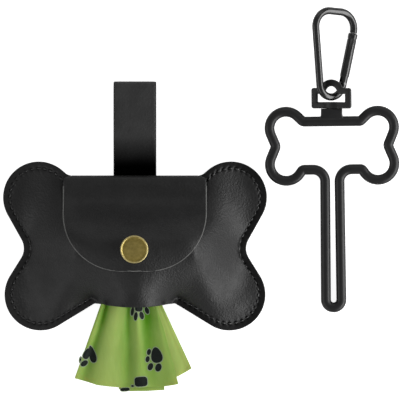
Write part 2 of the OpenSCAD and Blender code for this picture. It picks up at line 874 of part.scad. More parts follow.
module gate_pin() {
  color(gloss_black)
    place_hook()
      along_gate()
        rotate([90, 0, 0])
          cylinder(r = gate_pin_r, h = 2 * sqrt(gate_r * gate_r - gate_pin_r * gate_pin_r) - 0.1, center = true);
}

plunger_from = ear_r - 0.5 + gate_gap;
module gate_plunger() {
  color(spring_steel)
    place_hook()
      along_gate()
        union() {
          translate([0, 0, plunger_from + 0.5])
            cylinder(r = tang_t / 2, h = plunger_l - 0.5);
          translate([0, 0, plunger_from])
            cylinder(r1 = tang_t / 2 - 0.3, r2 = tang_t / 2, h = 0.5);
          translate([0, 0, plunger_from + plunger_l])
            cylinder(r = gate_bore_r - 0.1, h = 0.8);
        }
}

// A compression spring of round wire in the gate's bore
spring_wire_r = 0.2;
spring_r = gate_bore_r - spring_wire_r - 0.1;
spring_from = plunger_from + plunger_l + 0.8 + spring_wire_r + 0.05;
spring_l = slot_l + bore_l - spring_from - spring_wire_r - 0.05;
coil_steps = 8;
spring_sides = 6;
spring_points = spring_turns * coil_steps;
function coil_ring(i) =
  let (a = 360 * i / coil_steps, z = spring_from + spring_l * i / spring_points)
  [for (k = [0:spring_sides - 1]) let (t = 360 * k / spring_sides)
    let (r = spring_r + spring_wire_r * cos(t))
    [r * cos(a), r * sin(a), z + spring_wire_r * sin(t)]];

module gate_spring() {
  points = [for (i = [0:spring_points]) each coil_ring(i)];
  faces = concat(
    band_faces(spring_points + 1, spring_sides, false),
    [disc_face(0, spring_sides, false), disc_face(spring_points * spring_sides, spring_sides, true)]);
  color(spring_steel)
    place_hook()
      along_gate()
        polyhedron(points = points, faces = faces);
}

back_panel();
front_panel();
flap_fold();
flap();
strap();
strap_fold();
strap_tail();
flap_stud_cap();
flap_stud_socket();
flap_stud();
flap_stud_post();
strap_stud_cap();
strap_stud_socket();
strap_stud();
strap_stud_post();
roll_core();
bag_roll();
bag_strip();
hanging_bag();
carrier_frame();
swivel_pin();
swivel_yoke();
hook_body();
hook_gate();
gate_pin();
gate_spring();
gate_plunger();
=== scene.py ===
"""Looks of a bone-shaped leather waste bag pouch and of the bone-shaped bag carrier beside it."""

import logging
import math
from dataclasses import dataclass, field
from enum import Enum
from typing import Callable, Iterable, Optional, Sequence, Union

import bmesh
import bpy
import numpy as np
from mathutils import Matrix, Vector
from mathutils.bvhtree import BVHTree
from mathutils.kdtree import KDTree

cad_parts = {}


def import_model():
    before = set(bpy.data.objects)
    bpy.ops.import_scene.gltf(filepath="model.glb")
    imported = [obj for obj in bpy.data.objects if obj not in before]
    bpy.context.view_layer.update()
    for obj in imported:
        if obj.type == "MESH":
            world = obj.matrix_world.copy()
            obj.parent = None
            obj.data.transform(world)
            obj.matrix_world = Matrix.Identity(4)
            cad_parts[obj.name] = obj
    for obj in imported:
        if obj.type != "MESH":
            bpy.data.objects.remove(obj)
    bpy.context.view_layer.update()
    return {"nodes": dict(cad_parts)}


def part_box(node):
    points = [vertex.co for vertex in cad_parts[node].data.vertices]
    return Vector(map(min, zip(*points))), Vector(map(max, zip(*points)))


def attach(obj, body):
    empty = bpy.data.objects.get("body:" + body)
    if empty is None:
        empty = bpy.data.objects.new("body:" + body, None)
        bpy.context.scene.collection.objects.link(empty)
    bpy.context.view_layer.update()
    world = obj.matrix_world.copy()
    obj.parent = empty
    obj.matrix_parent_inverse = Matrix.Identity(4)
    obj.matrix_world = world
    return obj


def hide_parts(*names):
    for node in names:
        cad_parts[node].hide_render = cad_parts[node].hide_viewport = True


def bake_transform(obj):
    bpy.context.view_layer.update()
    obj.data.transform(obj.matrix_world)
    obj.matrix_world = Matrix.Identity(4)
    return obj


LOG = logging.getLogger("bag_pouch")
MM = 0.001
Array = np.ndarray
Piece = bpy.types.Object
Material = bpy.types.Material
Socket = bpy.types.NodeSocket
Colour = Union[str, Socket]
Noise = Range = tuple


# ---------- Colour and nodes ----------


def linear(code: str) -> tuple[float, float, float, float]:
    """Turns an sRGB hex code into the linear colour that Blender's sockets take.

    Args:
        code: the colour as "#rrggbb".

    Returns:
        Red, green, blue and alpha, linear, from 0 to 1.
    """
    parts = [int(code[i:i + 2], 16) / 255 for i in (1, 3, 5)]
    red, green, blue = (c / 12.92 if c <= 0.04045 else ((c + 0.055) / 1.055) ** 2.4 for c in parts)
    return red, green, blue, 1.0


def add_node(tree: bpy.types.NodeTree, kind: str, settings: Optional[dict] = None,
             inputs: Optional[dict] = None) -> bpy.types.Node:
    """Adds one node with its settings and its inputs.

    Args:
        tree: the node tree that takes the node.
        kind: the node's type name.
        settings: attributes of the node by name.
        inputs: socket values by name or number; an output socket as the value is linked.

    Returns:
        The new node.
    """
    node = tree.nodes.new(kind)
    for name, value in (settings or {}).items():
        setattr(node, name, value)
    for key, value in (inputs or {}).items():
        socket = node.inputs[key]
        if isinstance(value, Socket):
            tree.links.new(value, socket)
        else:
            socket.default_value = value
    return node


class Surface:
    """A material under construction: its tree, its shader and the piece's own coordinates."""

    def __init__(self, name: str) -> None:
        """Starts a material of that name with an empty Principled shader."""
        self.material = bpy.data.materials.new(name)
        self.material.use_nodes = True
        self.tree = self.material.node_tree
        self.shader = self.tree.nodes["Principled BSDF"]
        self.place = self.add("ShaderNodeTexCoord").outputs["Object"]

    def add(self, kind: str, settings: Optional[dict] = None,
            inputs: Optional[dict] = None) -> bpy.types.Node:
        """Adds one node to this material's tree."""
        return add_node(self.tree, kind, settings, inputs)

    def link(self, output: Socket, name: str) -> None:
        """Links an output to the shader's socket of that name."""
        self.tree.links.new(output, self.shader.inputs[name])

    def along(self, axis: str) -> Socket:
        """How far along an axis each point lies."""
        return self.add("ShaderNodeSeparateXYZ", None, {0: self.place}).outputs[axis]

    def given(self, name: str) -> Socket:
        """The value that the mesh gives each point by that name."""
        return self.add("ShaderNodeAttribute", {"attribute_name": name}).outputs["Fac"]

    def noise(self, size_mm: float, detail: float = 3.0, rough: float = 0.55,
              stretch: tuple[float, float, float] = (1, 1, 1)) -> Socket:
        """Adds a noise whose lumps are about size_mm across.

        Args:
            size_mm: width of the lumps.
            detail: how many finer layers lie on them.
            rough: how strong the finer layers are.
            stretch: how much longer the lumps are along each axis.

        Returns:
            The noise's height socket.
        """
        scale = tuple(1000 / (size_mm * s) for s in stretch)
        where = self.add("ShaderNodeMapping", None, {"Vector": self.place, "Scale": scale})
        texture = self.add("ShaderNodeTexNoise", None,
                           {"Vector": where.outputs[0], "Scale": 1.0, "Detail": detail, "Roughness": rough})
        return texture.outputs["Fac"]

    def cells(self, size_mm: float) -> Socket:
        """Adds a pattern of cells about size_mm across and returns the distance from their middles."""
        texture = self.add("ShaderNodeTexVoronoi", {"feature": "F1"},
                           {"Vector": self.place, "Scale": 1000 / size_mm, "Randomness": 1.0})
        return texture.outputs["Distance"]

    def spread(self, value: Socket, low: float, high: float,
               from_low: float = 0.3, from_high: float = 0.7) -> Socket:
        """Maps a value onto the range from low to high, without going past either."""
        node = self.add("ShaderNodeMapRange", {"clamp": True},
                        {"Value": value, "From Min": from_low, "From Max": from_high,
                         "To Min": low, "To Max": high})
        return node.outputs["Result"]

    def mix(self, share: Socket, first: Colour, second: Colour) -> Socket:
        """Mixes two colours, each a hex code or an output, by a share from 0 to 1."""
        node = self.add("ShaderNodeMix", {"data_type": "RGBA"}, {"Factor": share})
        sockets = [socket for socket in node.inputs if socket.type == "RGBA"]
        for socket, colour in zip(sockets, (first, second)):
            if isinstance(colour, str):
                socket.default_value = linear(colour)
            else:
                self.tree.links.new(colour, socket)
        return next(s for s in node.outputs if s.type == "RGBA")

    def bump(self, height: Socket, depth_mm: float, under: Optional[Socket] = None) -> Socket:
        """Adds a bump of that depth, on top of an earlier one if given, and returns its normal."""
        inputs = {"Height": height, "Distance": depth_mm * MM, "Strength": 1.0}
        if under is not None:
            inputs["Normal"] = under
        return self.add("ShaderNodeBump", None, inputs).outputs["Normal"]

    def tint(self, pattern: Socket, dark: str, light: str) -> None:
        """Colours the shader by a pattern, from a dark to a light hex code."""
        self.link(self.mix(self.spread(pattern, 0, 1), dark, light), "Base Color")

    def rough(self, pattern: Socket, low: float, high: float) -> None:
        """Lets a pattern set the roughness, from low to high."""
        self.link(self.spread(pattern, low, high), "Roughness")

    def relief(self, pattern: Socket, depth_mm: float) -> None:
        """Lets a pattern raise the surface by that depth."""
        self.link(self.bump(pattern, depth_mm), "Normal")

    def set(self, **values: float) -> None:
        """Sets the shader's own sockets; their names may have underscores for spaces."""
        for name, value in values.items():
            self.shader.inputs[name.replace("_", " ")].default_value = value


def put(name: str, data: bpy.types.ID) -> Piece:
    """Puts a new object with that data into the scene, at the origin."""
    piece = bpy.data.objects.new(name, data)
    bpy.context.scene.collection.objects.link(piece)
    return piece


def mark(piece: Piece, name: str, values: Sequence[float]) -> None:
    """Gives each point of a piece a value that its material reads."""
    layer = piece.data.attributes.new(name, "FLOAT", "POINT")
    layer.data.foreach_set("value", np.asarray(values, np.float32))


# ---------- Finishes ----------


@dataclass(frozen=True)
class PlainFinish:
    """A finish whose colour, roughness and relief each follow a noise.

    Each noise holds what Surface.noise takes, and the colour's also serves for what has none of its own.
    """

    name: str = ""
    dark: str = "#000000"
    light: str = "#ffffff"
    tint: Noise = (1.0,)
    rough_noise: Noise = ()
    rough: Range = (0.4, 0.5)
    relief_noise: Noise = ()
    depth_mm: float = 0.05
    sockets: tuple = ()

    def make(self) -> Material:
        """Builds the material."""
        s = Surface(self.name)
        pattern = s.noise(*self.tint)
        s.tint(pattern, self.dark, self.light)
        s.rough(s.noise(*self.rough_noise) if self.rough_noise else pattern, *self.rough)
        s.relief(s.noise(*self.relief_noise) if self.relief_noise else pattern, self.depth_mm)
        s.set(**dict(self.sockets))
        return s.material


@dataclass(frozen=True)
class Leather:
    """Split leather with a smooth black polyurethane coat, pressed with a fine grain."""

    name: str = "coated_split_leather_black"
    dark: str = "#131313"
    light: str = "#1b1b1b"
    grain_mm: float = 1.0
    pore_mm: float = 0.5
    grain_depth: float = 0.16
    pore_depth: float = 0.075
    roughness: float = 0.49
    shine: float = 0.42

    def make(self) -> Material:
        """Builds pebbled grain, fine pores and a coat that shines in soft patches."""
        s = Surface(self.name)
        cloud = s.noise(14.0, 2.0)
        grain, pores = s.cells(self.grain_mm), s.noise(self.pore_mm, 3.0, 0.65)
        self.coat(s, s.mix(s.spread(cloud, 0, 1), self.dark, self.light))
        s.rough(s.noise(5.0, 4.0), self.roughness - 0.05, self.roughness + 0.07)
        # Both patterns are as coarse as a close view can show, and coarser than the real coat's.
        s.link(s.bump(pores, self.pore_depth, s.bump(grain, self.grain_depth)), "Normal")
        return s.material

    def coat(self, s: Surface, colour: Socket) -> None:
        """Gives the shader the coat's colour and shine."""
        s.link(colour, "Base Color")
        s.set(Specular_IOR_Level=self.shine, Coat_Weight=0.05, Coat_Roughness=0.35)


@dataclass(frozen=True)
class StrapLeather(Leather):
    """The strap's leather, paler than the pouch's, with painted shade that turns it black and dull towards
    the flap.
    """

    name: str = "coated_strap_leather_black"
    dark: str = "#262626"
    light: str = "#343434"
    painted_shade: str = "#010101"
    shade_full_y: float = 0.0170
    shade_end_y: float = 0.0335
    shade_falloff: float = 1.6

    def coat(self, s: Surface, colour: Socket) -> None:
        """Gives the shader the coat's colour and shine, both faded out towards the flap by painted shade."""
        # Painted shade: towards the flap the colour goes to near black and the shine goes away.
        share = s.spread(s.along("Y"), 0, 1, self.shade_full_y, self.shade_end_y)
        fade = s.add("ShaderNodeMath", {"operation": "POWER"}, {0: share, 1: self.shade_falloff}).outputs[0]
        s.link(s.mix(fade, self.painted_shade, colour), "Base Color")
        s.link(s.spread(fade, 0, self.shine, 0, 1), "Specular IOR Level")


@dataclass(frozen=True)
class EdgePaint:
    """Glossy black edge paint on the pouch's cut rim, made paler towards the left by painted light."""

    name: str = "glossy_edge_paint_black"
    dark: str = "#0a0a0a"
    light: str = "#111111"
    painted_light: str = "#242424"
    painted_light_x: float = -0.078
    painted_light_end_x: float = -0.02

    def make(self) -> Material:
        """Builds a smooth lacquer with the small runs of a brush."""
        s = Surface(self.name)
        across = s.along("X")
        paint = s.mix(s.spread(s.noise(3.0), 0, 1), self.dark, self.light)
        # Painted light: the paint turns paler towards the left end of the rim.
        s.link(s.mix(s.spread(across, 0, 1, self.painted_light_x, self.painted_light_end_x), self.painted_light, paint), "Base Color")
        s.rough(s.noise(2.2), 0.34, 0.46)
        s.relief(s.noise(1.4, 2.0), 0.05)
        s.set(Specular_IOR_Level=0.24)
        return s.material


@dataclass(frozen=True)
class FlapEdgeHighlight(PlainFinish):
    """The unpainted cut edge of the flap, matt, coloured pale as a painted highlight along the edge."""

    name: str = "flap_edge_painted_highlight"
    dark: str = "#4e4e4d"
    light: str = "#7b7b79"
    tint: Noise = (0.5, 4.0, 0.7)
    rough: Range = (0.75, 0.95)
    depth_mm: float = 0.08


@dataclass(frozen=True)
class Thread(PlainFinish):
    """Bonded polyester sewing thread, black, with the fine stripes of its twist."""

    name: str = "bonded_polyester_thread_black"
    dark: str = "#121212"
    light: str = "#343434"
    tint: Noise = (0.3, 2.0, 0.5, (1, 1.6, 1))
    rough: Range = (0.18, 0.32)
    depth_mm: float = 0.06
    sockets: tuple = (("Specular IOR Level", 0.75),)


@dataclass(frozen=True)
class AntiqueBrass:
    """Steel snap with antique brass plating: brown in the hollows, worn bright on the rim."""

    name: str = "antique_brass_plate"
    worn: str = "#d6c78c"
    body: str = "#bda95f"
    dark: str = "#8f7e42"

    def make(self) -> Material:
        """Builds brushed plate whose rim is told from its middle by the piece's own wear attribute."""
        s = Surface(self.name)
        wear = s.given("wear")
        base = s.mix(s.spread(s.noise(2.6, 4.0, 0.6), 0, 1), self.dark, self.body)
        s.link(s.mix(wear, base, self.worn), "Base Color")
        s.rough(s.noise(1.0, 4.0, 0.7), 0.38, 0.5)
        s.relief(s.noise(0.35, 3.0, 0.6), 0.012)
        s.set(Metallic=1.0)
        return s.material


@dataclass(frozen=True)
class Film:
    """Blown low-density polythene film, pea green, thin enough for some light to pass."""

    name: str = "blown_polythene_film_green"
    dark: str = "#4d8a0c"
    light: str = "#b0c56d"

    def make(self) -> Material:
        """Builds a soft, slightly waxy film with fine crinkles along its length."""
        s = Surface(self.name)
        # The fold attribute is painted light and shade, paler on ridges and towards the hem, darker in
        # hollows and towards the mouth; the cloud is the film's own uneven tone.
        fold = s.given("fold")
        cloud = s.noise(9.0, 3.0, 0.6, (1, 3.0, 1))
        both = s.add("ShaderNodeMath", {"operation": "MULTIPLY_ADD"}, {0: cloud, 1: 0.34, 2: fold})
        s.link(s.mix(s.spread(both.outputs[0], 0, 1, 0.1, 0.72), self.dark, self.light), "Base Color")
        crinkle = s.noise(1.8, 4.0, 0.6, (1, 4.0, 1))
        s.rough(crinkle, 0.38, 0.55)
        s.relief(crinkle, 0.16)
        s.set(Subsurface_Weight=0.12, Subsurface_Scale=0.002, Specular_IOR_Level=0.06)
        return s.material


@dataclass(frozen=True)
class PrintInk(PlainFinish):
    """Flexographic ink on the bag's film, with the pinholes of a film print."""

    name: str = "flexo_ink"
    dark: str = "#0d1311"
    light: str = "#161e1b"
    tint: Noise = (1.1, 4.0, 0.7)
    rough_noise: Noise = (1.6,)
    rough: Range = (0.6, 0.75)
    relief_noise: Noise = (1.8, 3.0)
    depth_mm: float = 0.05
    sockets: tuple = (("Specular IOR Level", 0.2),)


@dataclass(frozen=True)
class MouldedNylon(PlainFinish):
    """Injection-moulded nylon, black and satin, with the fine grit of a spark-eroded mould."""

    name: str = "moulded_nylon_black"
    dark: str = "#0a0a0b"
    light: str = "#121213"
    tint: Noise = (6.0,)
    rough_noise: Noise = (2.0, 4.0)
    rough: Range = (0.38, 0.48)
    relief_noise: Noise = (0.4, 3.0, 0.6)
    depth_mm: float = 0.02
    sockets: tuple = (("Specular IOR Level", 0.5),)


@dataclass(frozen=True)
class Lacquer(PlainFinish):
    """Aluminium wire with a glossy black anodised coat and faint scuffs."""

    name: str = "gloss_black_anodised_wire"
    dark: str = "#060607"
    light: str = "#0e0e0e"
    tint: Noise = (4.0,)
    rough_noise: Noise = (1.2, 4.0, 0.65)
    rough: Range = (0.2, 0.3)
    relief_noise: Noise = (0.8, 2.0)
    depth_mm: float = 0.008
    sockets: tuple = (("Specular IOR Level", 0.6), ("Coat Weight", 0.3), ("Coat Roughness", 0.12))


@dataclass(frozen=True)
class SpringSteel(PlainFinish):
    """Drawn spring wire and turned steel, bare, with drawing marks."""

    name: str = "drawn_spring_steel"
    dark: str = "#83868a"
    light: str = "#a2a5a9"
    tint: Noise = (0.25, 3.0, 0.6, (1, 6.0, 1))
    rough: Range = (0.25, 0.38)
    depth_mm: float = 0.01
    sockets: tuple = (("Metallic", 1.0),)


@dataclass(frozen=True)
class Cardboard(PlainFinish):
    """Spirally wound grey-brown core board, matt, with its fibres along the tube."""

    name: str = "wound_core_board"
    dark: str = "#97774f"
    light: str = "#c0a070"
    tint: Noise = (0.5, 4.0, 0.65, (5.0, 1, 1))
    rough: Range = (0.8, 0.95)
    depth_mm: float = 0.05


class Finishes:
    """One of each material, made once and shared by the pieces."""

    def __init__(self) -> None:
        """Builds every material."""
        self.leather = Leather().make()
        self.strap_leather = StrapLeather().make()
        self.tail_leather = Leather("coated_tail_leather_black", StrapLeather.dark, StrapLeather.light).make()
        self.edge = EdgePaint().make()
        self.edge_highlight = FlapEdgeHighlight().make()
        self.thread = Thread().make()
        self.brass = AntiqueBrass().make()
        self.film = Film().make()
        self.ink = PrintInk().make()
        self.pale_ink = PrintInk("flexo_ink_halo", "#8f9f80", "#9aab86").make()
        self.nylon = MouldedNylon().make()
        self.lacquer = Lacquer().make()
        self.steel = SpringSteel().make()
        self.board = Cardboard().make()


# ---------- Meshes ----------


class Slot(str, Enum):
    """The record's material slots, by name."""

    LEATHER = "leather"
    BRASS = "brass"
    FILM = "film"
    CARD = "card"
    CARRIER = "carrier_plastic"
    HOOK = "hook_metal"


class Turn(int, Enum):
    """Which way a round of an outline turns."""

    OUT = 1
    IN = -1


@dataclass(frozen=True)
class Round:
    """One arc of an outline: its centre, its radius and which way it turns."""

    x: float
    y: float
    radius: float
    turn: Turn = Turn.OUT

    def flipped(self) -> "Round":
        """The same round on the other side of the middle line."""
        return Round(-self.x, self.y, self.radius, self.turn)


def leave_angle(a: Round, b: Round) -> float:
    """The angle on round a at which the straight line to round b leaves it, in radians."""
    dx, dy = b.x - a.x, b.y - a.y
    reach = (a.turn * a.radius - b.turn * b.radius) / math.hypot(dx, dy)
    return math.atan2(dy, dx) - math.acos(max(-1.0, min(1.0, reach)))


def arc(rounds: Sequence[Round], k: int, step_mm: float = 0.35) -> Array:
    """Points along round k of a closed outline.

    Args:
        rounds: the outline's rounds, anticlockwise.
        k: which of them.
        step_mm: spacing of the points.

    Returns:
        The points, in mm.
    """
    c = rounds[k]
    start = leave_angle(rounds[k - 1], c)
    rest = (c.turn * (leave_angle(c, rounds[(k + 1) % len(rounds)]) - start)) % (2 * math.pi)
    if rest > 2 * math.pi - 0.002:
        rest = 0.0
    count = max(3, int(rest * c.radius / step_mm) + 1)
    t = start + c.turn * np.linspace(0, rest, count)
    return np.stack([c.x + c.turn * c.radius * np.cos(t), c.y + c.turn * c.radius * np.sin(t)], 1)


def outline(rounds: Sequence[Round]) -> Array:
    """The whole closed outline as points."""
    return np.concatenate([arc(rounds, k) for k in range(len(rounds))])


def resampled(line: Array, count: int) -> Array:
    """An open line as that many evenly spaced points."""
    along = np.concatenate([[0], np.cumsum(np.linalg.norm(np.diff(line, axis=0), axis=1))])
    keep = np.concatenate([[True], np.diff(along) > 1e-9])
    want = np.linspace(0, along[-1], count)
    return np.stack([np.interp(want, along[keep], line[keep, i]) for i in range(line.shape[1])], 1)


def unit(vectors: Array) -> Array:
    """Vectors of length 1 in the same directions."""
    return vectors / np.maximum(np.linalg.norm(vectors, axis=-1, keepdims=True), 1e-9)


def quarter(x: float, y: float, radius: float, start: float, count: int) -> list[tuple[float, float]]:
    """Points on a quarter of a circle, anticlockwise from an angle in degrees."""
    angles = [math.radians(start + t) for t in np.linspace(0, 90, count)]
    return [(x + radius * math.cos(a), y + radius * math.sin(a)) for a in angles]


def smooth(t: Array) -> Array:
    """An even ramp from 0 to 1."""
    c = np.clip(t, 0, 1)
    return c * c * (3 - 2 * c)


def grid_faces(rows: int, columns: int, closed_rows: bool = False, closed_columns: bool = False,
               first: int = 0) -> list[tuple[int, ...]]:
    """Faces between the points of a grid.

    Args:
        rows: how many rows.
        columns: how many points in each row.
        closed_rows: whether the last row joins the first.
        closed_columns: whether each row closes on itself.
        first: the number of the grid's first point.

    Returns:
        The quads.
    """
    quads = []
    for i in range(rows if closed_rows else rows - 1):
        for j in range(columns if closed_columns else columns - 1):
            a, b = first + i * columns + j, first + i * columns + (j + 1) % columns
            c, d = ((first + ((i + 1) % rows) * columns + (j + 1) % columns),
                    first + ((i + 1) % rows) * columns + j)
            quads.append((a, b, c, d))
    return quads


def tube_faces(rows: int, columns: int) -> list[tuple[int, ...]]:
    """Faces of a tube from its first row to its last, with both ends closed."""
    ends = [tuple(range(columns)), tuple((rows - 1) * columns + k for k in range(columns))]
    return grid_faces(rows, columns, False, True) + ends


class Workshop:
    def __init__(self, finishes: Finishes) -> None:
        """Reads where the middle of the pouch lies in the frame."""
        low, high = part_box("back_panel")
        self.middle = np.array([(low.x + high.x) / 2, (low.y + high.y) / 2, 0.0])
        self.finishes = finishes

    def placed(self, points: Array) -> Array:
        """Points counted in mm from the middle of the pouch, as metres in the frame."""
        return np.asarray(points, float) * MM + self.middle

    def mesh(self, name: str, points: Array, faces: Iterable[Sequence[int]],
             materials: Sequence[Material], kinds: Optional[Sequence[int]] = None,
             weld: bool = True) -> Piece:
        """Makes a smooth-shaded mesh with its normals outward.

        Args:
            name: the piece's name.
            points: mm from the middle of the pouch.
            faces: the points of each face.
            materials: the materials its faces choose from.
            kinds: which material each face has; the first for all if not given.
            weld: whether points that meet are merged.

        Returns:
            The new object, at the origin.
        """
        data = bpy.data.meshes.new(name)
        data.from_pydata(self.placed(points).tolist(), [], [tuple(f) for f in faces])
        for material in materials:
            data.materials.append(material)
        if kinds is not None:
            data.polygons.foreach_set("material_index", list(kinds))
        self.clean(data, weld)
        return put(name, data)

    @staticmethod
    def clean(data: bpy.types.Mesh, weld: bool = True) -> None:
        """Turns a mesh's normals outward, shades it smooth and, if asked, merges points that meet."""
        work = bmesh.new()
        work.from_mesh(data)
        if weld:
            bmesh.ops.remove_doubles(work, verts=work.verts, dist=1e-6)
        bmesh.ops.recalc_face_normals(work, faces=work.faces)
        for face in work.faces:
            face.smooth = True
        work.to_mesh(data)
        work.free()

    def hand_over(self, piece: Piece, body: Optional[str], replaced: Sequence[str] = ()) -> Piece:
        """Args:
            piece: the finished piece.
            body: the body it rides on, or None for a piece that rides on no body.
            replaced: the CAD nodes it stands for.

        Returns:
            The piece.
        """
        if body:
            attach(piece, body)
        if replaced:
            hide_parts(*replaced)
        LOG.info("%s: %d faces on %s", piece.name, len(piece.data.polygons), body or "a joint")
        return piece

    def bevel(self, piece: Piece, width_mm: float, angle: float = 40) -> None:
        """Rounds a piece's sharp edges and applies the result to its mesh."""
        modifier = piece.modifiers.new("round_edges", "BEVEL")
        modifier.width = width_mm * MM
        modifier.segments = 3
        modifier.limit_method = "ANGLE"
        modifier.angle_limit = math.radians(angle)
        self.apply(piece)

    def apply(self, piece: Piece) -> None:
        """Turns a piece and its modifiers into a plain mesh."""
        graph = bpy.context.evaluated_depsgraph_get()
        data = bpy.data.meshes.new_from_object(piece.evaluated_get(graph))
        piece.modifiers.clear()
        piece.data = data

    def sheet(self, name: str, grid: Array, thick: float, materials: Sequence[Material],
              edge: float = 0.35, bead: float = 0.0, bead_row: int = 0) -> Piece:
        """Makes a sheet of even thickness with softly rounded cut edges.

        Args:
            name: the piece's name.
            grid: rows by columns of points on its middle, in mm.
            thick: its thickness.
            materials: the face's material, then the cut edge's.
            edge: how far the rounding of the edge reaches in.
            bead: how wide a band of the edge's material shows from above.
            bead_row: the first row that has this band, which then runs round the last row.

        Returns:
            The new object.
        """
        rows, columns = grid.shape[:2]
        along_rows = np.gradient(grid, axis=0)
        along_columns = np.gradient(grid, axis=1)
        normal = unit(np.cross(along_columns, along_rows))
        inner = grid.copy()
        for target, source in ((inner[0], grid[1]), (inner[-1], grid[-2])):
            target += unit(source - target) * edge
        for k, m in ((0, 1), (-1, -2)):
            inner[:, k] += unit(grid[:, m] - inner[:, k]) * edge
        half = thick / 2
        flat = rows * columns
        index = np.arange(flat).reshape(rows, columns)
        border = np.concatenate([index[0], index[1:, -1], index[-1, -2::-1], index[-2:0:-1, 0]])
        points = [(inner + normal * half).reshape(-1, 3), (inner - normal * half).reshape(-1, 3)]
        rim, rim_normal = grid.reshape(-1, 3)[border], normal.reshape(-1, 3)[border]
        lip = half - min(edge, half * 0.8)
        points += [rim + rim_normal * lip, rim - rim_normal * lip]
        faces = grid_faces(rows, columns)
        faces += [tuple(flat + v for v in face[::-1]) for face in faces]
        count = len(border)
        kinds = [0] * len(faces) + [0 if bead else len(materials) - 1] * (3 * count)
        loops = [border, 2 * flat + np.arange(count), 2 * flat + count + np.arange(count), flat + border]
        for a, b in zip(loops, loops[1:]):
            faces += np.stack([a, b, np.roll(b, -1), np.roll(a, -1)], 1).tolist()
        if bead:
            ahead = np.roll(rim, -1, 0) - np.roll(rim, 1, 0)
            inward = unit(np.cross(rim_normal, ahead))
            if np.mean(np.sum(inward * (grid.reshape(-1, 3).mean(0) - rim), axis=1)) < 0:
                inward = -inward
            first = sum(len(p) for p in points)
            # How far in each corner of the band's section lies, and its height in halves of the thickness.
            section = ((bead, 1.12), (0.25 * bead, 1.05), (-0.08, 0.5),
                       (-0.08, -0.5), (0.25 * bead, -1.05), (bead, -1.12))
            run = slice(columns - 1 + bead_row, count - bead_row + 1)
            strips = [(rim + inward * deep + rim_normal * half * tall)[run] for deep, tall in section]
            points += strips
            long = len(strips[0])
            tube = grid_faces(len(section), long, True, False, first)
            tube += [tuple(first + k * long + end for k in range(len(section))) for end in (0, long - 1)]
            faces += tube
            kinds += [len(materials) - 1] * len(tube)
        return self.mesh(name, np.concatenate(points), faces, materials, kinds)

    def lathe(self, name: str, profile: Array, to_place: Callable[[Array], Array],
              material: Material, steps: int = 72,
              wear: Optional[Sequence[float]] = None) -> Piece:
        """Turns a profile of radius and height round the upright axis.

        Args:
            name: the piece's name.
            profile: radius and height of each point, in mm.
            to_place: moves the turned points to where the piece lies.
            material: its material.
            steps: how many steps make the round.
            wear: for each point of the profile, how worn it is.

        Returns:
            The new object.
        """
        angles = np.arange(steps) * 2 * math.pi / steps
        points = np.array([[r * math.cos(a), r * math.sin(a), z] for r, z in profile for a in angles])
        faces = grid_faces(len(profile), steps, False, True)
        piece = self.mesh(name, to_place(points), faces, [material], weld=False)
        if wear is not None:
            mark(piece, "wear", np.repeat(wear, steps))
        self.clean(piece.data)
        return piece

    def sweep(self, name: str, path: Array, section: Array, closed: bool,
              to_place: Callable[[Array], Array], material: Material) -> Piece:
        """Carries a section along a flat path.

        Args:
            name: the piece's name.
            path: points in the piece's own plane, in mm.
            section: for each corner, its place across the path and its height.
            closed: whether the path closes on itself.
            to_place: moves the points to where the piece lies.
            material: its material.

        Returns:
            The new object.
        """
        if closed:
            ahead, behind = np.roll(path, -1, 0), np.roll(path, 1, 0)
        else:
            ahead = np.concatenate([path[1:], path[-1:]])
            behind = np.concatenate([path[:1], path[:-1]])
        run = unit(ahead - behind)
        side = np.stack([run[:, 1], -run[:, 0]], 1)
        count = len(section)
        points = np.zeros((len(path), count, 3))
        points[:, :, :2] = path[:, None] + side[:, None] * section[None, :, :1]
        points[:, :, 2] = section[None, :, 1]
        faces = grid_faces(len(path), count, True, True) if closed else tube_faces(len(path), count)
        return self.mesh(name, to_place(points.reshape(-1, 3)), faces, [material])


def round_section(radius: float, height: float, sides: int = 28, square: float = 1.0) -> Array:
    """A bar's section: round, or squarer for a power below 1.

    Args:
        radius: half its width.
        height: half its height.
        sides: how many corners.
        square: 1 for an ellipse, less for flatter faces.

    Returns:
        For each corner, its place across the bar and its height.
    """
    t = (np.arange(sides) + 0.5) * 2 * math.pi / sides
    c, s = np.cos(t), np.sin(t)
    return np.stack([radius * np.sign(c) * np.abs(c) ** square, height * np.sign(s) * np.abs(s) ** square], 1)


# ---------- Stitching ----------


